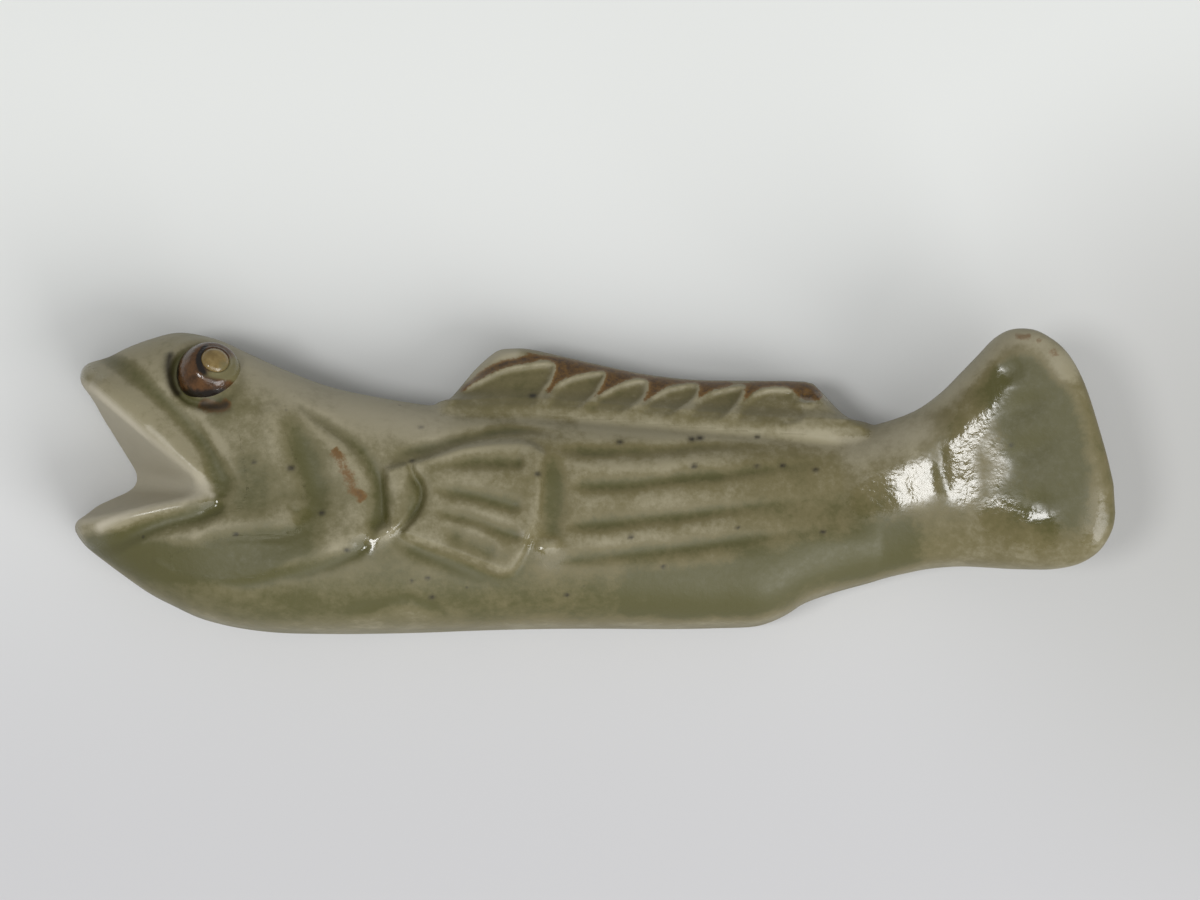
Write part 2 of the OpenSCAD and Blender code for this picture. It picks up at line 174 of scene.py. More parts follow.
def bell(t):
    """1 at 0, falling softly to both sides."""
    return np.exp(-(t**2))


stations = smooth(HEIGHTS, 8)


def along(x, column):
    return np.interp(x / LENGTH + 0.5, stations[:, 0], stations[:, column])


def lifted(x, y):
    return along(x, 4) * TAIL_LIFT + along(x, 5) * TAIL_ROLL * (y - ROLL_AXIS * DEPTH)


ribs = smooth(RIBS, 4)
back = np.column_stack([(ribs[:, 0] - 0.5) * LENGTH, ribs[:, 1] * DEPTH])
belly = np.column_stack([(ribs[:, 2] - 0.5) * LENGTH, ribs[:, 3] * DEPTH])
# The outline bulges out in front of the lips, where the mouth is cut away from it
front = np.array([(-39.5, -2.2), (-40.2, 1.0), (-40.2, 4.0), (-39.2, 6.6)])
outline = np.vstack([front, back, belly[::-1]])
print(f"outline of {len(outline)} points")

# %% [markdown]
# ## A plan map of the fish
# Most of the relief depends only on the place in plan, so it is kept in maps: tables with a
# value every tenth of a millimetre. The first map is how far a point lies inside the
# outline. It is quick to look up, so a mesh can ask for it at any point.

# %% The maps' grid, the distance to an outline and the look-up
TINY = 1e-12
MAP_STEP = 0.1
map_x = np.arange(-41.0, 39.0, MAP_STEP)
map_y = np.arange(-12.5, 12.5, MAP_STEP)
plan_x, plan_y = np.meshgrid(map_x, map_y, indexing="ij")


def look_up(table, x, y):
    """Value of a map at any plan points, between its four nearest entries."""
    u = np.clip((x - map_x[0]) / MAP_STEP, 0, len(map_x) - 1.001)
    v = np.clip((y - map_y[0]) / MAP_STEP, 0, len(map_y) - 1.001)
    i, j = u.astype(int), v.astype(int)
    u, v = u - i, v - j
    low = table[i, j] * (1 - v) + table[i, j + 1] * v
    high = table[i + 1, j] * (1 - v) + table[i + 1, j + 1] * v
    return low * (1 - u) + high * u


def segment_distance(x, y, a, b):
    """Distance to the line from a to b, and the share of the way along it."""
    way = b - a
    share = ((x - a[0]) * way[0] + (y - a[1]) * way[1]) / max(way @ way, TINY)
    share = np.clip(share, 0, 1)
    return np.hypot(x - a[0] - share * way[0], y - a[1] - share * way[1]), share


def window(points, margin):
    """The part of the map that holds these points and a margin round them."""
    lo, hi = points.min(0) - margin, points.max(0) + margin
    i0, i1 = np.searchsorted(map_x, lo[0]), np.searchsorted(map_x, hi[0])
    j0, j1 = np.searchsorted(map_y, lo[1]), np.searchsorted(map_y, hi[1])
    return slice(max(i0, 0), i1), slice(max(j0, 0), j1)


def inside_distance(points, margin=3.0):
    """Map of how far each place lies inside a closed outline. It is negative outside."""
    part = window(points, margin)
    x, y = plan_x[part], plan_y[part]
    nearest, inside = np.full(x.shape, 1e9), np.zeros(x.shape, bool)
    for a, b in zip(points, np.roll(points, -1, axis=0)):
        nearest = np.minimum(nearest, segment_distance(x, y, a, b)[0])
        spans = (a[1] > y) != (b[1] > y)
        rise = b[1] - a[1] or TINY
        inside ^= spans & (x < a[0] + (y - a[1]) * (b[0] - a[0]) / rise)
    table = np.full(plan_x.shape, -margin)
    table[part] = np.where(inside, nearest, -nearest)
    return table


inward = inside_distance(outline)
print(f"plan map of {inward.size} places, {inward.max():.1f} mm to the deepest")

# %% [markdown]
# The upper skin rises from the outline to the crown in a soft shoulder. It is the surface
# that the strokes are traced onto.

# %% The upper skin
def rounding(x):
    return np.interp(x, *np.array(ROUNDING).T)


def skin(x, y):
    off = np.clip(1 - look_up(inward, x, y) / rounding(x), 0, 1)
    rise = (1 - off**ROUNDNESS) ** (1 / ROUNDNESS)
    waist, crown = along(x, 1) * TRUNK, along(x, 2) * TRUNK
    return lifted(x, y) + waist + (crown - waist) * rise


MID_TRUNK = np.array([[0.0], [-3.0]])
print(f"skin is {skin(*MID_TRUNK)[0]:.1f} mm high at mid trunk")

# %% [markdown]
# ## Strokes of the tool
# The maker draws grooves with a round tool and pinches ridges between them. A stroke is a
# path of pixels, a height and a width in millimetres, and the shares of the path over which
# its start and its end fade. Where only one share is given, both ends have it. Grooves that
# meet don't add up: the deepest wins, as on wet clay.

# %% Drawing strokes and patches into a map
def stroke(pixels, height, width, start=0.25, end=None, level=skin):
    """Map window and values of one stroke along traced pixels."""
    path = smooth(trace(pixels, level), 4)
    part = window(path, 2.6 * width)
    x, y = plan_x[part], plan_y[part]
    length = np.hypot(*np.diff(path, axis=0).T)
    run = np.concatenate([[0], np.cumsum(length)]) / length.sum()
    best, where = np.full(x.shape, 1e9), np.zeros(x.shape)
    for k in range(len(path) - 1):
        distance, share = segment_distance(x, y, path[k], path[k + 1])
        closer = distance < best
        best = np.where(closer, distance, best)
        where = np.where(closer, run[k] + share * (run[k + 1] - run[k]), where)
    press = np.ones(x.shape)
    for fade, way in ((start, where), (start if end is None else end, 1 - where)):
        if fade:
            press *= ease(way / fade)
    # A faded end is narrower and keeps a trace of its height
    reach = width * (0.6 + 0.4 * press)
    return part, height * (0.12 + 0.88 * press) * bell(best / reach)


def draw(strokes, level=skin):
    """Map of the highest ridges less the deepest grooves of a list of strokes."""
    ridge, groove = np.zeros(plan_x.shape), np.zeros(plan_x.shape)
    for row in strokes:
        part, value = stroke(*row, level=level)
        ridge[part] = np.maximum(ridge[part], value)
        groove[part] = np.maximum(groove[part], -value)
    return ridge - groove


def patch(pixels, level=skin):
    """Map of the distance inside a closed outline of pixels."""
    return inside_distance(smooth(trace(pixels + pixels[:1], level), 3)[:-1])


def blur(table, radius):
    """Gaussian blur of a map, as a product in the frequency domain."""
    fx, fy = np.fft.fftfreq(table.shape[0], MAP_STEP), np.fft.rfftfreq(table.shape[1], MAP_STEP)
    gain = np.exp(-2 * (np.pi * radius) ** 2 * (fx[:, None] ** 2 + fy[None, :] ** 2))
    return np.fft.irfft2(np.fft.rfft2(table) * gain, s=table.shape)


# %% [markdown]
# ## The head
# A wide groove runs behind each lip, so that the lip stands out as a roll. The cheek has a
# light ridge along its lower and rear edge, and a crescent groove between it and the gill
# cover. The gill cover's own edge drops to a crease on the trunk.

# %% Strokes of the head
LIP_GROOVE = [
    (88, 341), (103, 352), (116, 361), (143, 382), (174, 409), (197, 435), (211, 458),
    (222, 482), (226, 503),
]
JAW_GROOVE = [(228, 498), (203, 513), (165, 522), (138, 531), (116, 541), (92, 553)]
CRESCENT = [(277, 402), (287, 420), (297, 445), (308, 476), (313, 501), (308, 526)]
UNDER_CHEEK = [
    (308, 522), (299, 531), (280, 537), (255, 538), (221, 540), (189, 551), (166, 560),
]
GILL_EDGE = [
    (292, 398), (303, 408), (331, 427), (356, 446), (372, 468), (381, 494), (379, 518),
    (365, 544), (345, 557), (312, 569), (278, 576), (244, 583), (207, 580), (172, 574),
]
GILL_RIDGE = [
    (312, 417), (334, 437), (350, 462), (358, 490), (355, 518), (338, 542), (306, 557),
    (262, 563), (220, 566),
]
head = draw([
    (LIP_GROOVE, -0.34, 0.9, 0, 0.1),
    ([(184, 420), (203, 448), (214, 476), (219, 504)], -0.3, 0.85, 0.5, 0.1),
    (JAW_GROOVE, -0.36, 0.7, 0.1, 0),
    ([(105, 552), (165, 562), (215, 562), (262, 556), (304, 546)], -0.2, 1.3),
    (CRESCENT, -0.42, 1.3, 0.45, 0.3),
    (UNDER_CHEEK, -0.14, 0.8, 0.3, 0.4),
    (GILL_EDGE, -0.26, 0.55, 0.12, 0.4),
    ([(374, 474), (384, 497), (381, 520)], -0.2, 0.7, 0.4),
    ([(196, 412), (215, 440), (230, 464), (240, 484)], 0.07, 0.4),
    ([(170, 546), (209, 530), (240, 524), (280, 520), (299, 514)], 0.15, 0.9, 0.4, 0.1),
    ([(300, 518), (303, 496), (294, 468), (284, 444), (275, 420), (269, 398)], 0.17, 0.9, 0.15),
    (GILL_RIDGE, 0.2, 1.3, 0.25),
    ([(177, 574), (198, 582), (267, 596), (358, 598)], 0.06, 0.8),
    ([(150, 560), (163, 567), (176, 575)], 0.08, 0.25),
    ([(244, 587), (300, 602), (345, 608), (404, 598)], -0.09, 0.7),
    ([(93, 376), (122, 401), (152, 429), (181, 459), (202, 485)], 0.26, 1.1, 0.1),
    ([(86, 534), (110, 520), (140, 506), (172, 496), (200, 494)], 0.2, 1.2, 0.15),
])
print(f"head relief {head.min():.2f} to {head.max():.2f} mm")

# %% [markdown]
# ## The flank, the tail and the belly
# Long shallow grooves run back over the flank with flat ridges between them, and a fan of
# wide ones opens on the tail. A low lobe at the belly's edge suggests the lower fin. The
# turn of the tail is a long dent in front of a long swelling, which carries its slope
# further forward, and slow waves a few hundredths of a millimetre high are left by fingers.

# %% Strokes of the flank and the tail
FLANK_LINES = [
    [(549, 450), (605, 451), (659, 450), (712, 446), (772, 447)],
    [(553, 488), (590, 485), (635, 483), (681, 477), (735, 473), (822, 461)],
    [(551, 527), (605, 523), (651, 518), (697, 513), (743, 507), (806, 500)],
    [(550, 561), (605, 555), (635, 552), (681, 547), (727, 541), (773, 535), (822, 531)],
]
FLANK_RIDGES = [
    [(562, 467), (600, 466), (650, 466), (700, 461), (770, 458)],
    [(566, 508), (600, 502), (650, 500), (700, 495), (742, 492)],
    [(562, 543), (620, 539), (680, 531), (740, 522), (806, 517)],
    [(640, 570), (690, 563), (740, 559), (775, 553)],
]
TAIL_GROOVES = [
    [(994, 382), (1008, 372), (1030, 360)],
    [(1006, 414), (1026, 406), (1052, 399)],
    [(1000, 456), (1022, 453), (1046, 444), (1066, 434)],
    [(1020, 496), (1040, 504), (1060, 500)],
]
TAIL_RIDGES = [
    [(992, 398), (1015, 390), (1044, 380)],
    [(996, 436), (1020, 430), (1050, 421)],
    [(996, 478), (1020, 484), (1050, 482), (1072, 474)],
]
PECTORAL_TOP = [
    (388, 459), (410, 451), (436, 445), (466, 437), (498, 431), (530, 430), (560, 435),
]
LOBE = [(340, 616), (362, 609), (384, 602), (405, 599), (430, 605), (455, 620)]
TAIL_RIM = [(1046, 350), (1066, 372), (1080, 405), (1090, 445), (1096, 490), (1092, 525)]
# Height of the tail's turn, at places along the fish. In front of TURN_RISES it fades out
# towards the belly.
TAIL_TURN = [
    (13, 0), (16, -0.3), (18.5, -0.6), (21, -0.16), (23, 0.18), (25, 0.42), (27, 0.42),
    (30, 0.24), (33, 0.09), (37, 0),
]
TURN_RISES = 21
flank = draw(
    [(path, -0.2, 0.55, 0.15, 0.5) for path in FLANK_LINES]
    + [(path, 0.05, 0.6, 0.2, 0.4) for path in FLANK_RIDGES]
    + [
        ([(547, 546), (551, 545)], 0.2, 0.55, 0),
        ([(371, 537), (384, 533)], 0.3, 0.7, 0),
        ([(552, 450), (557, 475), (558, 500), (553, 530), (543, 555)], -0.17, 0.8, 0.2),
        (PECTORAL_TOP, -0.26, 0.5, 0.25),
        ([(394, 540), (421, 552), (452, 564), (482, 575), (506, 582)], -0.2, 0.6, 0.25),
        (LOBE, -0.13, 0.4, 0.25),
        ([(380, 614), (408, 608), (435, 615)], 0.05, 0.7),
    ]
)
tail = draw(
    [(path, -0.15, 0.8, 0.4, 0.5) for path in TAIL_GROOVES]
    + [(path, 0.05, 0.8, 0.5) for path in TAIL_RIDGES]
    + [
        (TAIL_RIM, 0.14, 0.9, 0.2),
        ([(938, 440), (940, 470), (948, 500)], -0.1, 0.6, 0.3),
        ([(845, 468), (890, 456), (930, 443)], 0.12, 1.6, 0.3),
        ([(845, 530), (890, 525), (925, 516)], -0.12, 1.6, 0.3),
        ([(958, 394), (979, 365), (998, 339)], 0.2, 1.2, 0.3),
        ([(985, 541), (1020, 548), (1055, 553)], 0.16, 1.4, 0.5),
    ]
)
on_belly = 1 - ease((plan_y + 5.5) / 3.5)
turn = np.interp(plan_x, *np.array(TAIL_TURN).T) * (1 - on_belly * (plan_x < TURN_RISES))
turn = blur(turn, 0.2)
tail += turn
noise = np.random.default_rng(7).standard_normal(plan_x.shape)
narrow, wide = blur(noise, 1.1), blur(noise, 2.6)
waves = 0.6 * narrow / narrow.std() + wide / wide.std()
print(f"flank {flank.min():.2f} mm, tail {tail.min():.2f} mm at the deepest")

# %% [markdown]
# ## The plates laid on the body
# The cheek, the gill cover, the fin root and the pectoral fin are flat pieces of clay luted
# onto the body. Each has an outline in the photograph. The glaze closes the joint, so the
# edge of a fin plate is a soft step and that of a cheek plate hardly shows.

# %% Outlines of the plates and how high they stand
CHEEK_FRONT = [
    (232, 404), (238, 430), (243, 460), (246, 490), (238, 508), (215, 514), (185, 520),
    (164, 532), (170, 553),
]
CHEEK_REAR = [
    (189, 549), (221, 539), (255, 537), (280, 536), (299, 530), (306, 516), (306, 498),
    (299, 470), (290, 446), (281, 420), (275, 405),
]
CHEEK = CHEEK_FRONT + CHEEK_REAR
GILL = CHEEK_REAR[::-1] + [
    (170, 556), (175, 571), (207, 578), (244, 581), (278, 574), (312, 567), (345, 555),
    (365, 542), (378, 518), (380, 494), (371, 467), (354, 445), (330, 428), (303, 410),
    (290, 402),
]
FIN_SEAM = [(412, 473), (421, 489), (419, 505), (410, 520)]
ROOT = [(384, 467), (409, 461), *FIN_SEAM, (400, 532), (389, 534), (384, 512), (382, 488)]
PECTORAL = [
    (409, 461), (440, 451), (467, 443), (507, 439), (531, 441), (545, 451), (546, 462),
    (545, 492), (541, 522), (534, 539), (526, 556), (516, 573), (502, 577), (482, 569),
    (452, 557), (421, 546), (399, 535), *FIN_SEAM[::-1],
]
RAYS = [
    ([(428, 469), (452, 465), (479, 462), (505, 462), (528, 463)], -0.26, 0.65, 0.5, 0.1),
    ([(428, 489), (450, 492), (474, 496), (500, 503), (526, 510)], -0.25, 0.6, 0.3, 0.15),
    ([(430, 511), (450, 515), (474, 521), (500, 531), (526, 540)], -0.22, 0.55, 0.3, 0.15),
    ([(440, 527), (458, 537), (478, 547), (500, 557)], -0.2, 0.75, 0.3, 0.2),
    ([(406, 470), (417, 488), (416, 504), (404, 526)], -0.22, 0.75, 0.3),
    ([(394, 474), (397, 498), (393, 520)], 0.06, 0.6, 0.3),
]
cheek_in, gill_in, root_in, pectoral_in = map(patch, (CHEEK, GILL, ROOT, PECTORAL))
fin_in = np.maximum(root_in, pectoral_in)
FIN_STAND = 0.46
stand = FIN_STAND * ease((fin_in + 0.12) / 0.66)
plates = draw(RAYS) + stand


def area(places):
    return f"{places.sum() * MAP_STEP**2:.1f} mm2"


print("cheek", area(cheek_in > 0), "gill cover", area(gill_in > 0), "fin", area(fin_in > 0))

# %% [markdown]
# ## The eye socket
# A ball of clay is pressed into the head, deeper on the side of the mouth, which leaves a
# dark crevice there and a thin raised lid over its top.

# %% Place of the eye and its socket
EYE_PIXEL = (208, 373)
EYE_HIGH, EYE_SUNK = 9.2, 0.65
EYE_R = 2.35
# Directions round the eye in radians: away from the mouth, and to the lid
REARWARD, LIDWARD = 0.35, 1.75
eye_xy = trace([EYE_PIXEL], EYE_HIGH)[0]
eye_at = np.array([*eye_xy, EYE_HIGH - EYE_SUNK])
from_eye = np.hypot(plan_x - eye_xy[0], plan_y - eye_xy[1])
round_eye = np.arctan2(plan_y - eye_xy[1], plan_x - eye_xy[0])
mouth_side = (0.5 - 0.5 * np.cos(round_eye - REARWARD)) ** 3
lid_side = (0.5 + 0.5 * np.cos(round_eye - LIDWARD)) ** 2


def eye_ring(beyond, width):
    """Map of a soft ring round the eye, this far beyond the ball."""
    return bell((from_eye - EYE_R - beyond) / width)


LID_HIGH, GAP_DEEP, CREVICE_DEEP = 0.16, 0.06, 0.7
lid = LID_HIGH * lid_side * eye_ring(0.55, 0.4)
crevice = (GAP_DEEP + CREVICE_DEEP * mouth_side) * eye_ring(0.05, 0.4)
socket = lid - crevice
print(f"eye at {eye_at.round(1)} mm")

# %% The whole relief
WAVE_HIGH = 0.022
relief = head + flank + tail + plates + socket + WAVE_HIGH * waves
print(f"relief {relief.min():.2f} to {relief.max():.2f} mm")

# %% [markdown]
# ## Turning a form into a mesh
# Each piece is written as a field: a function that is negative inside the clay and zero on
# its surface. `soft_max` joins two fields with a rounded edge, as fingers do. `net` lays a
# grid over the field, puts a point in each cell that the surface crosses, joins the points
# of neighbouring cells with four-sided faces, and pulls each point onto the surface. One
# closed mesh of even faces comes out, whatever the form.

# %% Joining fields and pulling points onto them
FLATTEST, LONGEST_STEP = 0.05, 0.3


def soft_max(a, b, radius):
    near = np.maximum(radius - np.abs(a - b), 0) / radius
    return np.maximum(a, b) + near * near * radius / 4


def gradient(field, p, reach=0.03):
    g = np.empty_like(p)
    for axis in range(3):
        shift = np.zeros(3)
        shift[axis] = reach
        g[:, axis] = (field(*(p + shift).T) - field(*(p - shift).T)) / (2 * reach)
    return g


def pull_in(field, p):
    """Moves points onto the surface of a field, in two short steps."""
    for _ in range(2):
        g = gradient(field, p)
        size = np.maximum((g * g).sum(1), FLATTEST)
        step = -g * (field(*p.T) / size)[:, None]
        p = p + np.clip(step, -LONGEST_STEP, LONGEST_STEP)
    return p


# %% The net
def net(field, low, high, step, rounds=3):
    """Closed quad mesh, points in mm and faces, where a field is zero in a box."""
    axes = [np.arange(a, b + step, step) for a, b in zip(low, high)]
    values = np.empty([len(a) for a in axes])
    y, z = (m.ravel() for m in np.meshgrid(axes[1], axes[2], indexing="ij"))
    for i, x in enumerate(axes[0]):
        values[i] = field(np.full(y.shape, x), y, z).reshape(values.shape[1:])
    solid = (values < 0).astype(np.int8)
    i, j, k = (n - 1 for n in solid.shape)
    count = sum(
        solid[a : a + i, b : b + j, c : c + k] for a in (0, 1) for b in (0, 1) for c in (0, 1)
    )
    mixed = (count > 0) & (count < 8)
    number = np.full(mixed.shape, -1)
    number[mixed] = np.arange(mixed.sum())
    total, hits, faces = np.zeros((mixed.sum(), 3)), np.zeros(mixed.sum()), []
    for a in range(3):
        b, c = (a + 1) % 3, (a + 2) % 3
        near, far = [slice(None)] * 3, [slice(None)] * 3
        near[a], far[a] = slice(0, -1), slice(1, None)
        first, second = values[tuple(near)], values[tuple(far)]
        cut = np.argwhere((first < 0) != (second < 0))
        f, s = first[tuple(cut.T)], second[tuple(cut.T)]
        place = np.array([axis[0] for axis in axes]) + cut * step
        place[:, a] += step * f / (f - s)
        ring = []
        for db, dc in ((0, 0), (-1, 0), (-1, -1), (0, -1)):
            cell = cut.copy()
            cell[:, b] += db
            cell[:, c] += dc
            ring.append(number[tuple(cell.T)])
            np.add.at(total, ring[-1], place)
            np.add.at(hits, ring[-1], 1)
        ring = np.stack(ring, 1)
        faces.append(np.where((f < 0)[:, None], ring, ring[:, ::-1]))
    p, faces = total / hits[:, None], np.vstack(faces)
    p = pull_in(field, p)
    for _ in range(rounds):
        middle = p[faces].mean(1)
        total, hits = np.zeros_like(p), np.zeros(len(p))
        for corner in range(4):
            np.add.at(total, faces[:, corner], middle)
            np.add.at(hits, faces[:, corner], 1)
        p = pull_in(field, total / hits[:, None])
    return p, faces


# %% [markdown]
# A small function makes a Blender object of the points and faces, shades it smooth, and
# says which CAD node it stands for.

# %% Making a piece
pieces = {}


def make_piece(name, node, slot, points, faces):
    mesh = bpy.data.meshes.new(name)
    mesh.from_pydata((points * MM).tolist(), [], faces.tolist())
    mesh.shade_smooth()
    piece = add_object(name, mesh)
    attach(piece, "root")
    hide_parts(node)
    pieces[node] = piece
    print(f"{name}: {len(points)} points, {len(faces)} faces")


# %% [markdown]
# ## The back fin
# The back fin is a thin flange of clay with a rounded rim. Six leaf-shaped rays are pressed
# into it, each a shallow hollow with a thin raised edge along its top and its rear, and the
# notch between two leaves is cut down to the web.

# %% Outline and leaves of the back fin
# Levels of the fin's rim and of its upper side, in mm above the table
FIN_LEVEL, FIN_TOP = 4.6, 6.4
FIN_RIM = [
    (444, 407), (460, 388), (476, 369), (496, 352), (510, 349), (530, 349.5), (566, 357.5),
    (597, 364.5), (642, 374), (693, 380), (749, 381), (805, 382), (819, 390), (833, 405),
    (852, 423), (862, 432),
]
FIN_FOOT = [(440, 409), (520, 405), (640, 414), (760, 424), (870, 428)]
LEAVES = [
    [(449, 412), (461, 391), (480, 381), (503, 369.5), (528, 364.5), (549, 362.5), (555, 367),
     (551, 381), (542, 395), (536, 412), (520, 424), (470, 424)],
    [(545, 412), (556, 388), (570, 379), (587, 374), (602, 372), (605, 376), (598, 392),
     (587, 406), (577, 417), (560, 424), (546, 422)],
    [(580, 420), (598, 399), (612, 390), (626, 383), (640, 379.5), (647, 383), (646, 395),
     (637, 407), (624, 417), (610, 426), (590, 427)],
    [(628, 423), (651, 400), (666, 390), (680, 386), (693, 383), (699, 388), (696, 398),
     (685, 409), (671, 420), (655, 429), (638, 429)],
    [(678, 425), (702, 398), (711, 393), (725, 389), (740, 386), (744, 389), (741, 399),
     (733, 411), (722, 423), (706, 431), (688, 431)],
    [(728, 428), (748, 399), (764, 389.5), (781, 388), (792, 390), (796, 398), (806, 412),
     (800, 426), (770, 434), (740, 434)],
]
# The raised edge follows a leaf's outline along its top and down its rear
LEAF_EDGES = [
    LEAVES[0][1:9] + [(537, 410)],
    LEAVES[1][1:8] + [(576, 417)],
    LEAVES[2][1:9],
    LEAVES[3][1:9],
    [(710, 393)] + LEAVES[4][3:9],
    [(752, 396)] + LEAVES[5][2:5] + [(796, 397)],
]
LEAF_EDGE_HIGH, LEAF_DEEP = 0.13, 0.24
leaf_in = np.max([patch(leaf, FIN_TOP) for leaf in LEAVES], axis=0)
leaf_edges = draw([(path, 1.0, 0.2, 0.06, 0.25) for path in LEAF_EDGES], FIN_TOP)
foot_line = trace(FIN_FOOT, FIN_LEVEL)
leaves_fade = ease((plan_y - np.interp(plan_x, *foot_line.T) + 1.2) / 1.6)
leaves = (LEAF_EDGE_HIGH * leaf_edges - LEAF_DEEP * ease(leaf_in / 0.5)) * leaves_fade
leaves += draw([
    ([(470, 381), (490, 368), (515, 357), (535, 355)], -0.16, 0.35, 0.2),
    ([(552, 368), (549, 384), (541, 402)], -0.12, 0.3, 0.2),
    ([(800, 394), (812, 397)], -0.25, 0.4),
    ([(792, 404), (806, 405), (818, 404)], 0.16, 0.25),
], FIN_TOP)
print(f"leaves {leaves.min():.2f} to {leaves.max():.2f} mm")

# %% [markdown]
# The flange is thicker at its foot than at its crest. Its field takes the relief as an
# argument, because the body uses the bare flange as well, to flow up onto it in a fillet.

# %% Field of the back fin
# Half thickness and middle level at the foot and at the crest
FOOT_HALF, CREST_HALF = 2.35, 1.3
FOOT_MIDDLE, CREST_MIDDLE = 5.04, 4.45
RIM_R, RIM_POWER = 0.95, 2.2
# How far the fin's own clay reaches past its foot line, and the level of its underside
FIN_STRIP, FIN_UNDER = 1.5, 2.2
INTO_BODY = [(850, 444), (760, 440), (640, 431), (540, 424), (470, 424), (446, 420)]
crest = trace(FIN_RIM, FIN_LEVEL)
fin_plan = patch(FIN_RIM + INTO_BODY, FIN_LEVEL)


def fin_reach(x, y):
    """Share of the way from the fin's foot to its crest."""
    base = np.interp(x, *foot_line.T)
    high = np.maximum(np.interp(x, *crest.T) - base, 1.0)
    return np.clip((y - base) / high, 0, 1)


def fin_form(x, y, z, stand):
    out = fin_reach(x, y)
    middle = FOOT_MIDDLE + (CREST_MIDDLE - FOOT_MIDDLE) * out
    half = FOOT_HALF + (CREST_HALF - FOOT_HALF) * out
    # The relief lifts the upper side alone
    level = z - stand * ease((z - middle) / (0.5 * half))
    off = np.maximum(1 - look_up(fin_plan, x, y) / RIM_R, 0)
    rise = np.abs(level - middle) / half
    return ((off**RIM_POWER + rise**RIM_POWER) ** (1 / RIM_POWER) - 1) * half


def fin_side(x, y):
    """How far a place lies on the fin's side of the line where its clay begins."""
    beyond = y - np.interp(x, *foot_line.T) + FIN_STRIP
    return np.minimum(beyond, np.minimum(x - foot_line[0, 0], foot_line[-1, 0] - x))


print(f"the fin is {crest[-1, 0] - crest[0, 0]:.1f} mm long")

# %% [markdown]
# ## The body
# The section is a rounded one above the widest level and a boxier one below it, cut flat
# where it lies on the table. The mouth is a wedge that widens and deepens upwards. Under a
# plate the body's skin dips, and the plate's own skin carries on at the same height.

# %% Field of the mouth
# The gape and the reach are those at the table and at the lips' level
LIPS = {"tip": -37.5, "upper": 7.37, "gape": (8.8, 11.4), "reach": (4.0, 10.4), "corner": 0.77}
LIP_LEVEL = 9.45
LIP_ROUND, CORNER_ROUND, TIP_ROUND, FOOT_ROUND = 0.8, 1.6, 1.4, 0.9


def mouth_field(x, y, z):
    """Negative in the clay on either side of the mouth, as a distance in plan."""
    rise = np.clip(z / LIP_LEVEL, -0.2, 1.4)
    gape, reach = (low + (high - low) * rise for low, high in (LIPS["gape"], LIPS["reach"]))
    dx, drop = x - LIPS["tip"], gape * LIPS["corner"]
    upper = (dx * drop + (y - LIPS["upper"]) * reach) / np.hypot(reach, drop)
    low = gape - drop
    lower = (dx * low - (y - LIPS["upper"] + gape) * reach) / np.hypot(reach, low)
    return -soft_max(upper, lower, CORNER_ROUND)


# %% Field and mesh of the body
# How deep the body dips under the plates and under the back fin
PLATE_BED, FIN_BED = 0.9, 0.35
FIN_FILLET = 2.4
UNDER_POWER = 3.2
BODY_LOW, BODY_HIGH = (-38.6, -12, -0.7), (38.4, 12, 16.5)
BODY_STEP = 0.2
plates_in = np.maximum(np.maximum(cheek_in, gill_in), fin_in)
body_relief = relief + leaves - PLATE_BED * ease((plates_in - 0.25) / 0.6)


def blank_field(x, y, z):
    """The fish without its mouth and back fin."""
    waist, crown, sink = (along(x, column) * TRUNK for column in (1, 2, 3))
    base = lifted(x, y) + waist
    tall = crown - waist
    # The relief lifts what is above the widest level alone
    level = z - look_up(body_relief, x, y) * ease((z - base) / (0.6 * tall))
    off = np.maximum(1 - look_up(inward, x, y) / rounding(x), 0)
    rise = np.maximum(level - base, 0) / tall + np.maximum(base - level, 0) / (waist + sink)
    power = np.where(level > base, ROUNDNESS, UNDER_POWER)
    return ((off**power + rise**power) ** (1 / power) - 1) * tall


def joined_field(x, y, z):
    """The fish and its back fin as one skin, with a fillet between them."""
    flange = fin_form(x, y, z, look_up(leaves, x, y))
    fillet = FIN_FILLET * (1 - ease(fin_reach(x, y) / 0.7)) + 0.01
    return -soft_max(-blank_field(x, y, z), -flange, fillet)


def body_field(x, y, z):
    form = joined_field(x, y, z)
    # Under the fin's own clay the body sinks, from a little behind the fin's edges on
    form += FIN_BED * ease((fin_side(x, y) - 0.35) / 0.6) * ease((z - FIN_UNDER - 0.2) / 0.8)
    form = soft_max(form, mouth_field(x, y, z), LIP_ROUND)
    form = soft_max(form, LIPS["tip"] + 0.02 - x, TIP_ROUND)
    return soft_max(form, -z, FOOT_ROUND)


points, faces = net(body_field, BODY_LOW, BODY_HIGH, BODY_STEP)
make_piece("body", "fish_body", "celadon_glaze", points, faces)

# %% [markdown]
# The back fin takes the same joined skin on its own side of its foot line, where the body
# sinks a third of a millimetre under it, so the two meet without a step.

# %% Mesh of the back fin
PLATE_STEP = 0.16
PLATE_ROUND = 0.2


def fin_field(x, y, z):
    form = soft_max(joined_field(x, y, z), -fin_side(x, y), PLATE_ROUND)
    return soft_max(form, FIN_UNDER - z, PLATE_ROUND)


fin_low = (crest[:, 0].min() - 1, foot_line[:, 1].min() - 2.6, 1.5)
fin_high = (crest[:, 0].max() + 1.5, crest[:, 1].max() + 1, 11)
points, faces = net(fin_field, fin_low, fin_high, PLATE_STEP)
make_piece("back_fin", "dorsal_fin", "iron_brushed_glaze", points, faces)

# %% [markdown]
# ## The plates
# A plate's top is the skin with the whole relief on it. Its field is the thickness between
# that top and its bed, cut along its outline with a small rounded edge. It reaches a hair
# past the place where the body starts to dip and sinks there, so the two skins cross and no
# gap shows.

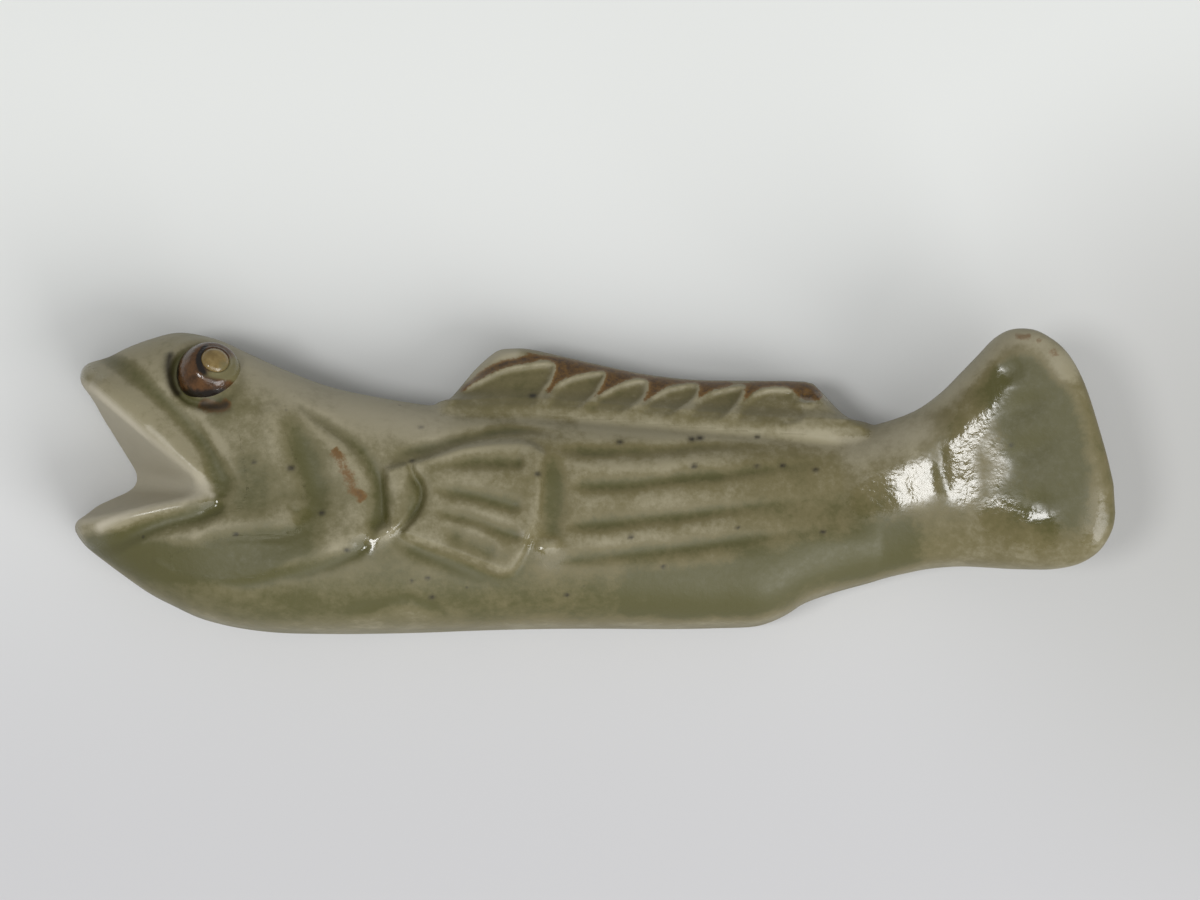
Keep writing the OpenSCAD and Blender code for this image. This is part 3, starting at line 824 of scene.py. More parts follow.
# %% Meshes of the four plates
BEDS = {"cheek_plate": 6.5, "gill_cover": 6.9, "fin_root": 6.9, "pectoral_fin": 6.5}
PLATE_LAP, LAP_SINK = 0.35, 0.12
PLATE_TOP = 12.5
top = skin(plan_x.ravel(), plan_y.ravel()).reshape(plan_x.shape) + relief


def plate_field(inside, bed):
    def field(x, y, z):
        depth = look_up(inside, x, y)
        above = z - look_up(top, x, y) + LAP_SINK * ease((-depth - 0.1) / 0.3)
        thick = soft_max(above, bed - z, PLATE_ROUND)
        return soft_max(thick, -depth - PLATE_LAP, PLATE_ROUND)

    return field


for node, inside in zip(BEDS, (cheek_in, gill_in, root_in, pectoral_in)):
    where = np.argwhere(inside > -0.8)
    low = (map_x[where[:, 0].min()], map_y[where[:, 1].min()], BEDS[node] - 0.5)
    high = (map_x[where[:, 0].max()], map_y[where[:, 1].max()], PLATE_TOP)
    points, faces = net(plate_field(inside, BEDS[node]), low, high, PLATE_STEP)
    make_piece(node.split("_")[0], node, "celadon_glaze", points, faces)

# %% [markdown]
# ## The eye
# The ball is pressed into its socket, and a small disc of ochre clay lies almost flush on
# it, looking up and back. A shallow ring runs round the disc.

# %% Fields and meshes of the eye
EYE_STEP = 0.09
LOOK = np.array([0.33, 0.36, 0.87])
LOOK /= np.linalg.norm(LOOK)
PUPIL_R, PUPIL_STAND, PUPIL_FOOT, PUPIL_ROUND = 1.1, 0.04, 1.2, 0.5
RING_DEEP, SEAT_DEEP = 0.05, 0.35


def eye_frame(x, y, z):
    """Height along the look, distance from its axis, and distance from the ball's centre."""
    p = np.stack([x - eye_at[0], y - eye_at[1], z - eye_at[2]])
    height = np.tensordot(LOOK, p, 1)
    away = np.sqrt(np.maximum((p * p).sum(0) - height**2, 0))
    return height, away, np.sqrt((p * p).sum(0))


def ball_field(x, y, z):
    """The ball with the disc's seat in it, and a ring and a low lip round that."""
    height, away, radius = eye_frame(x, y, z)
    ring = RING_DEEP * bell((away - PUPIL_R - 0.1) / 0.2)
    lip = RING_DEEP * bell((away - PUPIL_R - 0.6) / 0.25)
    seat = SEAT_DEEP * ease((PUPIL_R - away) / 0.25)
    return radius - EYE_R + (ring - lip + seat) * (height > 0)


def pupil_field(x, y, z):
    height, away, radius = eye_frame(x, y, z)
    disc = soft_max(radius - EYE_R - PUPIL_STAND, away - PUPIL_R, PUPIL_ROUND)
    return soft_max(disc, PUPIL_FOOT - height, PLATE_ROUND)


ball_box = [(eye_at + side * (EYE_R + 0.4)) for side in (-1, 1)]
make_piece("eye", "eyeball", "eye_glaze", *net(ball_field, *ball_box, EYE_STEP))
make_piece("eye_disc", "pupil", "ochre_glaze", *net(pupil_field, *ball_box, EYE_STEP))

# %% [markdown]
# ## Where the glaze pools
# Celadon is a transparent glass coloured by a little iron. It drains off every ridge, where
# the pale clay shows through, and gathers in the grooves, where it looks olive. The map of
# that thickness is the relief taken from a blurred copy of itself, plus wide soft strokes
# where the photograph shows it thicker or thinner. Some strokes are also painted light and
# shade: lighter on skin that faces away from the lamps, darker on the belly's side, which
# faces them. Half is the plain thickness, 0 is beige and 1 is olive.

# %% Map of the glaze's thickness
THICKER_AND_PAINTED_SHADE = [
    ([(212, 470), (222, 488), (224, 505)], 0.2, 0.9),
    ([(190, 570), (230, 573), (268, 568)], 0.6, 1.0),
    ([(250, 468), (257, 484), (246, 500)], 0.42, 1.2),
    ([(98, 551), (165, 563), (220, 564), (270, 558), (300, 550)], 1.0, 1.5),
    ([(250, 590), (310, 602), (350, 606)], 0.2, 0.9),
    # These three rows along the belly are partly thicker glaze and partly painted shade, which
    # darkens the belly's side that faces the lamps, and their sheen there
    ([(140, 580), (230, 596), (320, 600), (400, 590), (560, 600), (740, 594)], 0.36, 2.2),
    ([(640, 594), (700, 592), (750, 588), (790, 572)], 1.0, 1.8),
    ([(760, 570), (800, 566), (850, 558), (900, 550)], 0.85, 2.0),
    ([(780, 510), (840, 505), (880, 520)], 0.25, 1.5),
    ([(880, 556), (940, 548)], 0.2, 1.7),
    ([(552, 466), (553, 500), (551, 526)], 0.3, 0.7),
    ([(1010, 500), (1040, 515), (1065, 500)], 0.15, 1.4),
    ([(940, 420), (962, 395), (982, 370)], 0.22, 1.2),
    ([(1024, 385), (1044, 430), (1048, 490)], 1.4, 2.5),
    ([(286, 420), (300, 455), (310, 490), (306, 520)], 0.2, 1.2),
    ([(205, 394), (217, 410)], 0.25, 0.8),
    ([(365, 560), (400, 556), (430, 566)], 0.2, 1.2),
]
# Rows on the head's top, the forehead, the nape, the top of the tail's root and the tail's
# upper edge are partly thin glaze and partly painted light on skin that faces away from the
# lamps
THINNER_AND_PAINTED_LIGHT = [
    ([(90, 366), (125, 392), (155, 420), (182, 450), (198, 474)], -0.55, 1.4),
    ([(82, 530), (105, 523), (140, 508), (165, 504)], -0.5, 1.0),
    ([(118, 346), (150, 342), (190, 338)], -0.5, 1.7),
    ([(192, 405), (206, 428), (222, 452)], -0.35, 0.55),
    ([(146, 352), (168, 386), (196, 420)], -0.4, 1.1),
    ([(936, 398), (955, 384), (975, 358), (990, 336)], -0.75, 1.3),
    ([(262, 400), (252, 425), (262, 450)], -0.12, 1.0),
    ([(246, 352), (300, 384), (360, 406), (430, 420)], -0.75, 2.3),
    ([(440, 424), (560, 430), (700, 438), (850, 441)], -0.3, 1.2),
    ([(855, 446), (890, 440), (918, 430)], -0.4, 1.5),
    ([(430, 458), (475, 449), (520, 446), (538, 450), (538, 490), (532, 530)], -0.1, 0.55),
    ([(415, 543), (455, 558), (500, 572), (520, 556)], -0.3, 0.4),
    ([(880, 425), (930, 400), (985, 350)], -0.3, 1.0),
    ([(1000, 342), (1030, 340), (1060, 364)], -0.8, 1.6),
    ([(1060, 364), (1082, 406), (1096, 452), (1103, 500), (1096, 540)], -0.12, 1.2),
    ([(900, 562), (960, 556), (1040, 562), (1085, 552)], -0.16, 1.2),
    ([(560, 467), (640, 466), (740, 458)], -0.15, 0.6),
    ([(585, 426), (700, 434), (830, 440)], -0.55, 0.8),
    ([(620, 452), (720, 449), (790, 450)], -0.2, 0.5),
]


def round_ended(strokes):
    """Strokes that keep their full strength up to their round ends."""
    return [(*row, 0) for row in strokes]


NARROW_MM, WIDE_MM = 0.7, 1.5
# The tail's slow turn and most of a fin plate's height don't thin the glaze
form = relief - turn - 0.8 * stand
hollow = 2.2 * (blur(form, NARROW_MM) - form) + 1.6 * (blur(form, WIDE_MM) - form)
# Thick in the leaves' hollows, thin on their edges
leaf_pool = (0.24 * ease(leaf_in / 0.45) - 0.35 * leaf_edges) * leaves_fade
pool_and_painted_light_map = 0.5 + 0.85 * hollow + leaf_pool
for strokes in (THICKER_AND_PAINTED_SHADE, THINNER_AND_PAINTED_LIGHT):
    pool_and_painted_light_map += draw(round_ended(strokes))
# Slate lies only in the deepest grooves
slate_map = 0.8 * ease(-1.8 * (head + plates - stand) - 0.25)
slate_map += 0.5 * ease(-2.5 * flank - 0.2)
print(f"glaze map {pool_and_painted_light_map.min():.2f} to {pool_and_painted_light_map.max():.2f}")

# %% [markdown]
# An iron wash is dabbed on the gill cover and along the tail's edge before glazing, and the
# clay holds iron specks of its own, up to half a millimetre across. Near-black along the
# eye's crevice is iron glaze gathered there and painted shade of the crevice. Where the
# glaze is thick and smooth it is glossy, on the lips, the eye and the turn of the tail.
# Elsewhere it is satin. The pale clay colour on the lips' edges is a painted highlight. On
# the nape and the tail's upper rim it is partly glaze run thin and partly painted light on
# skin that faces away from the lamps. A speck is a pixel and a radius in millimetres.

# %% Maps of the iron wash, the specks, the gloss and the bare clay
GILL_WASH = [(332, 448), (340, 459), (347, 471), (352, 486), (360, 496), (366, 503)]
STAINS = [
    (GILL_WASH, 0.75, 0.65, 0.05),
    ([(332, 448), (341, 460)], 0.95, 0.5, 0.15),
    ([(354, 488), (365, 502)], 0.95, 0.5, 0.15),
    ([(1010, 335), (1022, 337), (1034, 335)], 0.8, 0.4),
    ([(1036, 338), (1042, 343)], 0.75, 0.35),
    ([(1050, 347), (1057, 359)], 0.9, 0.4),
    ([(1078, 372), (1090, 402), (1100, 432), (1108, 470), (1112, 505)], 0.45, 0.2, 0.1),
    ([(953, 378), (958, 374)], 0.55, 0.25),
    ([(533, 533), (531, 540)], 0.6, 0.25),
    ([(196, 400), (208, 406), (222, 406), (233, 399)], 1.1, 0.6, 0.15),
]
SPECKS = [
    (291, 468, 0.2), (322, 513, 0.16), (236, 534, 0.12), (254, 462, 0.1), (538, 475, 0.16),
    (412, 461, 0.12), (428, 578, 0.12), (412, 581, 0.1), (567, 595, 0.12), (421, 427, 0.12),
    (783, 465, 0.16), (816, 469, 0.16), (620, 442, 0.18), (692, 439, 0.2), (700, 438, 0.2),
    (757, 437, 0.14), (757, 466, 0.14), (694, 466, 0.17), (631, 537, 0.14), (663, 567, 0.12),
    (432, 597, 0.14), (823, 532, 0.14), (738, 527, 0.1), (1011, 446, 0.08), (347, 550, 0.12),
]
GLOSS = [
    ([(866, 499), (884, 493)], 1.0, 1.1),
    ([(884, 493), (922, 480)], 1.0, 1.5),
    ([(990, 384), (982, 402), (968, 432), (957, 455), (962, 490)], 1.0, 1.2),
    ([(988, 444), (1000, 466), (996, 484)], 0.45, 0.9),
    ([(998, 514), (1018, 521), (1038, 529)], 1.0, 1.3),
    ([(1098, 502), (1096, 522), (1091, 538)], 0.5, 1.0),
    ([(535, 540), (552, 556)], 1.0, 0.8),
    ([(365, 542), (388, 528)], 1.0, 0.8),
    ([(298, 520), (305, 515)], 0.9, 0.4),
    ([(78, 378), (110, 405), (140, 432), (168, 458)], 1.0, 1.1),
    ([(143, 418), (170, 446), (190, 470), (210, 500)], 1.0, 0.9),
    ([(88, 532), (125, 512), (168, 496)], 1.0, 1.0),
    ([(788, 405), (806, 405), (820, 404)], 0.8, 0.5),
]
stain_map = draw(STAINS)
speck_and_painted_shade_map = draw([([(px - 1, py), (px + 1, py)], 1.0, size, 0) for px, py, size in SPECKS])
speck_and_painted_shade_map += draw([
    # Near-black along the eye's crevice: iron glaze gathered there and painted shade of the
    # crevice
    ([(172, 350), (168, 366), (171, 384), (180, 396)], 0.95, 0.32, 0.1),
    ([(197, 400), (209, 406), (222, 406), (231, 401)], 0.85, 0.5, 0.15),
])
gloss_map = draw(round_ended(GLOSS))
bare_and_painted_light_map = draw(round_ended([
    # Painted highlights on the lips' edges, in the colour of pale clay
    ([(90, 387), (110, 405), (130, 423), (146, 439)], 1.1, 0.34),
    ([(149, 429), (168, 447), (189, 478)], 0.6, 0.26),
    ([(100, 526), (118, 516), (140, 507), (160, 499)], 1.0, 0.4),
    ([(203, 488), (211, 495)], 0.7, 0.25),
    # Partly thin glaze and partly painted light on skin that faces away from the lamps
    ([(250, 356), (300, 386), (360, 408), (430, 422)], 0.35, 1.7),
    ([(855, 444), (890, 438), (918, 430)], 0.3, 1.3),
    ([(945, 392), (972, 360), (990, 338)], 0.25, 0.9),
    ([(1000, 340), (1030, 338), (1058, 360)], 0.2, 0.9),
]))
print("iron wash on", area(stain_map > 0.4), "of the body")

# %% [markdown]
# On the back fin the brush went along the rim and into each notch between two leaves, so
# the wash is an area with pointed tips. The outermost rim at the front wiped clean.

# %% Maps of the back fin
WASHED_RIM = [
    (524, 350), (566, 355), (597, 362), (642, 371), (693, 377), (749, 378), (806, 379),
    (824, 391), (820, 401), (806, 401), (797, 397), (792, 390), (781, 387), (764, 388),
    (753, 394), (745, 402), (743, 398), (744, 388), (741, 385), (725, 388), (711, 392),
    (698, 401), (697, 396), (699, 387), (694, 382), (680, 385), (666, 389), (652, 399),
    (642, 406), (644, 398), (647, 391), (647, 383), (640, 378), (626, 382), (612, 389),
    (598, 398), (592, 402), (599, 390), (605, 376), (603, 371), (587, 373), (570, 378),
    (557, 386), (551, 396), (545, 393), (549, 386), (551, 381), (555, 367), (550, 361),
    (534, 358),
]
WASHED_FRONT = [
    (458, 392), (462, 385), (474, 374), (487, 365), (500, 359), (514, 356), (530, 352),
    (546, 356), (532, 363), (514, 366), (500, 371), (487, 377), (474, 385), (463, 393),
]
WIPED_RIM = [(462, 384), (478, 364), (500, 351), (522, 350)]
# A trace of the wash lies on the whole fin, and the glaze is thin there
FIN_TRACE, FIN_POOL = 0.45, 0.3
wash_in = np.maximum(patch(WASHED_RIM, FIN_TOP), patch(WASHED_FRONT, FIN_TOP))
fin_stain_map = FIN_TRACE + 2.8 * wash_in - draw([
    ([(728, 382), (746, 382), (749, 388)], 0.5, 0.4),
    ([(640, 378), (690, 382)], 0.22, 0.6),
], FIN_TOP)
on_fin = ease(fin_side(plan_x, plan_y) / 1.5)
fin_pool_map = pool_and_painted_light_map * (1 - on_fin) + (FIN_POOL + leaf_pool) * on_fin
fin_pool_map += draw([
    ([(466, 378), (482, 362), (500, 353), (522, 352)], -0.5, 0.45, 0.1),
    ([(818, 392), (832, 408), (848, 424)], -0.2, 0.6, 0.1),
    ([(584, 412), (596, 408)], 0.4, 0.4),
], FIN_TOP)
fin_speck_map = draw([([(532, 398), (534, 398)], 1.0, 0.22, 0)], FIN_TOP)
fin_bare_map = draw([(WIPED_RIM, 0.55, 0.5, 0.1)], FIN_TOP)
print("iron wash on", area(wash_in > 0), "of the fin")

# %% [markdown]
# The maps are stored on the meshes as attributes, so the materials can read them. They hold
# for skin that faces up. On a side wall the glaze runs down, thin under the shoulder and
# thick near the table, and the flat foot is bare clay, because glaze there would stick to
# the kiln shelf.

# %% Attributes on the pieces
# The mouth's field reaches on past the head, so its palate ends here
HEAD_END = -26
PLAIN_GLOSS = 0.1
PALATE_BARE, PALATE_POOL = 0.75, 0.02
# How thick the glaze is on a side wall, what it gains near the table, and what it loses
# under the shoulder
WALL_POOL, TABLE_GAIN, SHOULDER_LOSS = 0.42, 0.3, 0.1


def set_attribute(piece, name, values):
    attribute = piece.data.attributes.new(name, "FLOAT", "POINT")
    attribute.data.foreach_set("value", np.clip(values, 0, 1.2).astype(np.float32))


def mesh_points(piece, kind):
    values = np.empty(len(piece.data.vertices) * 3)
    piece.data.vertices.foreach_get(kind, values)
    return values.reshape(-1, 3)


def dress(piece, pool_and_painted_light, stain, speck_and_painted_shade, gloss, bare_and_painted_light):
    """Stores the glaze's maps on a piece, and what its side walls and foot have instead."""
    x, y, z = (mesh_points(piece, "co") / MM).T
    upright = mesh_points(piece, "normal")[:, 2]
    facing = ease((upright - 0.05) / 0.45)
    runs = WALL_POOL + TABLE_GAIN * ease((2.5 - z) / 2.5) - SHOULDER_LOSS * ease((z - 4) / 2)
    palate = ease((mouth_field(x, y, z) + 0.7) / 0.6) * (x < HEAD_END)
    pools_and_painted_light = look_up(pool_and_painted_light, x, y) * facing + runs * (1 - facing)
    foot = ease((0.35 - z) / 0.3) * ease((-0.3 - upright) / 0.3)
    pale = np.maximum(PALATE_BARE * palate, look_up(bare_and_painted_light, x, y) * facing)
    set_attribute(piece, "pool_and_painted_light", pools_and_painted_light * (1 - palate) + PALATE_POOL * palate)
    set_attribute(piece, "stain", look_up(stain, x, y) * ease((upright + 0.5) / 0.5))
    set_attribute(piece, "slate", look_up(slate_map, x, y) * facing * (1 - palate))
    set_attribute(piece, "speck_and_painted_shade", look_up(speck_and_painted_shade, x, y) * facing)
    set_attribute(piece, "gloss", PLAIN_GLOSS + look_up(gloss, x, y) * facing)
    set_attribute(piece, "bare_and_painted_light", foot + pale)


for node in ("fish_body", *BEDS):
    dress(pieces[node], pool_and_painted_light_map, stain_map, speck_and_painted_shade_map, gloss_map, bare_and_painted_light_map)
dress(pieces["dorsal_fin"], fin_pool_map, fin_stain_map, fin_speck_map, gloss_map, fin_bare_map)
print("glaze maps stored on", ", ".join(("fish_body", *BEDS, "dorsal_fin")))

# %% [markdown]
# ## Materials
# Colours are written as sRGB hex values, which one function turns to linear. One small
# function adds a node with its settings and links, and gives the output that the next node
# needs. A node's inputs go by name or by number: a MapRange turns input 0 from the range
# between inputs 1 and 2 to that between 3 and 4, which is 0 to 1 if it isn't given, and a
# Mix of colours blends inputs 6 and 7 by input 0. Patterns are measured in millimetres, so
# the object's coordinates, which are in metres, are multiplied by 1000 first.

# %% Colour and node helpers
def linear(hex_colour):
    value = [int(hex_colour[i : i + 2], 16) / 255 for i in (1, 3, 5)]
    return [v / 12.92 if v <= 0.04045 else ((v + 0.055) / 1.055) ** 2.4 for v in value] + [1.0]


SHADER = "Principled BSDF"


def add_node(tree, kind, inputs, out=0, **settings):
    """Adds a node, or takes one that is there, and sets its inputs to values or links."""
    node = tree.nodes[kind] if kind == SHADER else tree.nodes.new("ShaderNode" + kind)
    for name, value in settings.items():
        setattr(node, name, value)
    for key, value in inputs.items():
        if isinstance(value, bpy.types.NodeSocket):
            tree.links.new(value, node.inputs[key])
        else:
            node.inputs[key].default_value = value
    return node.outputs[out]


def new_material(name):
    """A material, the function that adds nodes to it, and its coordinates in mm."""
    material = bpy.data.materials.new(name)
    material.use_nodes = True
    add = partial(add_node, material.node_tree)
    place = add("TexCoord", {}, "Object")
    grid = add("VectorMath", {0: place, 1: (1000, 1000, 1000)}, operation="MULTIPLY")
    return material, add, grid


SOFT = {"interpolation_type": "SMOOTHSTEP"}
PAINT = {"data_type": "RGBA"}

# %% [markdown]
# ### Celadon glaze
# Fired at about 1250 degrees, it is a thick soft-looking glass on buff stoneware. Where it
# is thin it is beige, where it pools it is olive, and in the deepest grooves it goes slate
# green; its thickness map also carries painted light and shade. It is clouded in patches of
# about 3 mm with grain of half a millimetre, and its surface has a slight orange peel, which
# breaks a highlight into grains. Paint goes over it in layers, each with a cover from 0 to
# 1: the wash, the specks with the painted shade of the eye's crevice, and last the pale clay
# with the painted highlights and painted light, which is rough. The glaze is satin at a
# roughness of 0.58 and glossy at 0.13.

# %% The celadon material
THIN, MIDDLE, MIDDLE_REAR = "#8C856B", "#686243", "#6A6241"
POOLED, SLATE = "#504D29", "#4F5134"
# The pale clay colour also paints highlights on the lips' edges and light on the nape and the
# tail's top, and the speck colour paints shade in the eye's crevice
WASH, WASH_DARK, SPECK_AND_PAINTED_SHADE, PALE_CLAY_AND_PAINTED_LIGHT = "#684C22", "#3C2D1E", "#201B0C", "#B2AB98"
CLOUD_MM, GRAIN_MM, PEEL_MM, WAVE_MM, FLECK_MM = 3.2, 0.55, 0.38, 1.5, 2.6
SATIN, GLOSSY, UNGLAZED = 0.58, 0.13, 0.85
GLAZE_IOR = 1.5
# How far the clouds, the grain and the brush marks shift the edges of the layers
CLOUD_SHIFT, GRAIN_SHIFT, BRUSH_SHIFT = 1.1, 0.7, 1.5
SLATE_COVER, FLECK_COVER = 0.45, 0.55
# How deep the orange peel is, in metres, and where the fish turns warmer towards its rear
PEEL_DEEP = 0.00003
REAR_FROM, REAR_TO = -18, 0


def celadon(name, wash_mm):
    material, add, grid = new_material(name)
    painted = {
        key: add("Attribute", {}, "Fac", attribute_name=key)
        for key in ("pool_and_painted_light", "stain", "slate", "speck_and_painted_shade", "gloss", "bare_and_painted_light")
    }
    cloud, grain, brush = (
        add("TexNoise", {"Vector": grid, "Scale": 1 / mm, "Detail": detail, "Roughness": fine})
        for mm, detail, fine in ((CLOUD_MM, 4, 0.6), (GRAIN_MM, 3, 0.7), (wash_mm, 4, 0.75))
    )

    # Clouds and grain shift the thickness with its painted light and shade, which goes from
    # thin over middle to pooled
    pool_and_painted_light = add("Math", {0: cloud, 1: CLOUD_SHIFT, 2: painted["pool_and_painted_light"]}, operation="MULTIPLY_ADD")
    pool_and_painted_light = add("Math", {0: grain, 1: GRAIN_SHIFT, 2: pool_and_painted_light}, operation="MULTIPLY_ADD")
    thin = add("MapRange", {0: pool_and_painted_light, 1: 0.84, 2: 1.44}, **SOFT)
    thick = add("MapRange", {0: pool_and_painted_light, 1: 1.35, 2: 1.95}, **SOFT)
    slate = add("Math", {0: painted["slate"], 1: SLATE_COVER}, operation="MULTIPLY")

    # The wash breaks up along the brush's grain, and is darkest where it is strong
    stain = {0: brush, 1: BRUSH_SHIFT, 2: painted["stain"]}
    stain = add("Math", stain, operation="MULTIPLY_ADD")
    strong = add("MapRange", {0: stain, 1: 1.6, 2: 2.3}, **SOFT)
    stain = add("MapRange", {0: stain, 1: 1.15, 2: 1.65}, **SOFT)
    wash = add("Mix", {0: strong, 6: linear(WASH), 7: linear(WASH_DARK)}, 2, **PAINT)

    # A round fleck in the middle of every fourth cell or so, and the specks of the photograph
    # with the painted shade of the eye's crevice
    cells = {"Vector": grid, "Scale": 1 / FLECK_MM}
    spread = add("TexVoronoi", cells)
    choice = add("SeparateColor", {0: add("TexVoronoi", cells, "Color")})
    few = add("MapRange", {0: choice, 1: 0.66, 2: 0.78})
    dot = add("MapRange", {0: spread, 1: 0.075, 2: 0.03, 4: FLECK_COVER}, **SOFT)
    dot = add("Math", {0: dot, 1: few}, operation="MULTIPLY")
    dot = add("Math", {0: dot, 1: painted["speck_and_painted_shade"]}, operation="MAXIMUM")

    # Each layer covers the ones before it
    length = add("SeparateXYZ", {0: grid})
    rear = add("MapRange", {0: length, 1: REAR_FROM, 2: REAR_TO}, **SOFT)
    middle = add("Mix", {0: rear, 6: linear(MIDDLE), 7: linear(MIDDLE_REAR)}, 2, **PAINT)
    layers = (
        (thin, middle), (thick, linear(POOLED)), (slate, linear(SLATE)), (stain, wash),
        (dot, linear(SPECK_AND_PAINTED_SHADE)), (painted["bare_and_painted_light"], linear(PALE_CLAY_AND_PAINTED_LIGHT)),
    )
    colour = linear(THIN)
    for cover, paint in layers:
        colour = add("Mix", {0: cover, 6: colour, 7: paint}, 2, **PAINT)

    # Orange peel on slow waves, and gloss that the grain breaks up
    peel = add("TexNoise", {"Vector": grid, "Scale": 1 / PEEL_MM, "Detail": 2})
    wave = add("TexNoise", {"Vector": grid, "Scale": 1 / WAVE_MM, "Detail": 1})
    height = add("Math", {0: peel, 1: 0.6, 2: wave}, operation="MULTIPLY_ADD")
    normal = add("Bump", {"Height": height, "Strength": 1.0, "Distance": PEEL_DEEP})
    glossy = add("Math", {0: grain, 1: 0.5, 2: painted["gloss"]}, operation="MULTIPLY_ADD")
    rough = add("MapRange", {0: glossy, 1: 0.15, 2: 1.0, 3: SATIN, 4: GLOSSY}, **SOFT)
    rough = add("Mix", {0: painted["bare_and_painted_light"], 2: rough, 3: UNGLAZED})
    add(SHADER, {"Base Color": colour, "Roughness": rough, "Normal": normal, "IOR": GLAZE_IOR})
    return material


# The brush on the back fin left a finer grain than the dabs on the body
celadon_glaze = celadon("celadon_glaze", 0.7)
for node in ("fish_body", *BEDS):
    pieces[node].data.materials.append(celadon_glaze)
pieces["dorsal_fin"].data.materials.append(celadon("iron_brushed_celadon", 0.35))

# %% [markdown]
# ### Iron and ochre glazes of the eye
# The ball is dabbed with an iron glaze that breaks red-brown. It ran down into the socket,
# where it is nearly black, and the celadon covers the rear of the ball. The near-black along
# the crevice on the mouth's side is that glaze and painted shade of the crevice. The disc is
# ochre slip under the same clear glaze. Where each lies is painted on the points of the mesh,
# at its place in the photograph.

# %% Paint on the eye
def eye_pixels(piece):
    """Pixel offsets from the eye's centre, to the right and down."""
    p = mesh_points(piece, "co") / MM - eye_at
    return p @ right * PIXELS_PER_MM, -(p @ up) * PIXELS_PER_MM


def spot(u, v, centre, radii):
    return bell((u - centre[0]) / radii[0]) * bell((v - centre[1]) / radii[1])


# The disc's place from the eye's centre, and its radius, in pixels
DISC_AT, DISC_R = (11, -15), 17
u, v = eye_pixels(pieces["eyeball"])
from_disc = np.hypot(u - DISC_AT[0], v - DISC_AT[1])
black_glaze_and_painted_shade = 1.1 * bell((from_disc - DISC_R) / 3.5) * ease((8 - u) / 14)
black_glaze_and_painted_shade += 1.3 * spot(u, v, (9, 24), (21, 11))
# Near-black at the crevice on the mouth's side: iron glaze and painted shade of the crevice
black_glaze_and_painted_shade += spot(u, v, (-32, -4), (6, 20)) + spot(u, v, (-20, 24), (12, 9))
over = spot(u, v, (30, -8), (12, 16)) + 0.8 * spot(u, v, (16, 0), (18, 6))
set_attribute(pieces["eyeball"], "black_glaze_and_painted_shade", black_glaze_and_painted_shade)
set_attribute(pieces["eyeball"], "celadon", over)
u, v = eye_pixels(pieces["pupil"])
set_attribute(pieces["pupil"], "black_glaze_and_painted_shade", 0.9 * ease((-2 - u) / 7) * ease((v + 28) / 6))
set_attribute(pieces["pupil"], "celadon", 0.6 * spot(u, v, (18, -8), (7, 9)))
print(f"black glaze on {(black_glaze_and_painted_shade > 0.5).mean():.0%} of the ball's points")

# %% Materials of the eye
# The black also paints the shade along the eye's crevice
IRON, IRON_DARK, IRON_BLACK_AND_PAINTED_SHADE = "#573A1E", "#36230E", "#150E08"
OCHRE, OCHRE_DARK = "#867349", "#725F37"
EYE_ROUGH, EYE_IOR, RIPPLE_DEEP = 0.2, 1.55, 0.00004


def eye_glaze(name, light, dark, size_mm):
    material, add, grid = new_material(name)
    patches = {"Vector": grid, "Scale": 1 / size_mm, "Detail": 3, "Roughness": 0.65}
    patchy = add("TexNoise", patches)
    cover = add("MapRange", {0: patchy, 1: 0.36, 2: 0.62})
    colour = add("Mix", {0: cover, 6: linear(light), 7: linear(dark)}, 2, **PAINT)
    for key, paint in (("celadon", MIDDLE), ("black_glaze_and_painted_shade", IRON_BLACK_AND_PAINTED_SHADE)):
        painted = add("Attribute", {}, "Fac", attribute_name=key)
        cover = add("Math", {0: patchy, 1: 0.6, 2: painted}, operation="MULTIPLY_ADD")
        cover = add("MapRange", {0: cover, 1: 0.55, 2: 1.05}, **SOFT)
        colour = add("Mix", {0: cover, 6: colour, 7: linear(paint)}, 2, **PAINT)
    ripple = add("TexNoise", {"Vector": grid, "Scale": 1 / PEEL_MM, "Detail": 2})
    normal = add("Bump", {"Height": ripple, "Strength": 1.0, "Distance": RIPPLE_DEEP})
    surface = {"Base Color": colour, "Normal": normal, "Roughness": EYE_ROUGH, "IOR": EYE_IOR}
    add(SHADER, surface)
    return material


pieces["eyeball"].data.materials.append(eye_glaze("iron_glaze", IRON, IRON_DARK, 0.9))
pieces["pupil"].data.materials.append(eye_glaze("ochre_glaze", OCHRE, OCHRE_DARK, 0.7))
print("materials:", ", ".join(sorted(m.name for m in bpy.data.materials)))

# %% [markdown]
# ## Table and light
# The fish lies on a plain pale table. Its colour carries painted shade, darker in front of
# the fish than behind it, and a painted shadow past the tail. The small lamp to the left is
# the window, whose reflection makes the highlights on the tail and the lips, beside the
# painted highlights on the lips' edges. A wide lamp stands low to the right on the belly's
# side and casts the soft shadow, and a wide one overhead softens it. The world fills the
# rest, so that a colour renders about as it is written.

# %% Floor
# The front colour is painted shade, and the right one a painted shadow past the tail
FLOOR_BACK, FLOOR_FRONT_PAINTED_SHADE, FLOOR_PAINTED_SHADOW = "#E2E4E2", "#C8C8CA", "#BDBDBB"
FLOOR_HALF, FLOOR_ROUGH = 1.5, 0.8
# In mm: the painted shade from front to back ends here, and the painted shadow lies round a
# place past the tail
SHADE_FRONT, SHADE_BACK = -30, 35
PAINTED_SHADOW_AT, PAINTED_SHADOW_FROM, PAINTED_SHADOW_FULL = (56, 0, 0), 42, 6


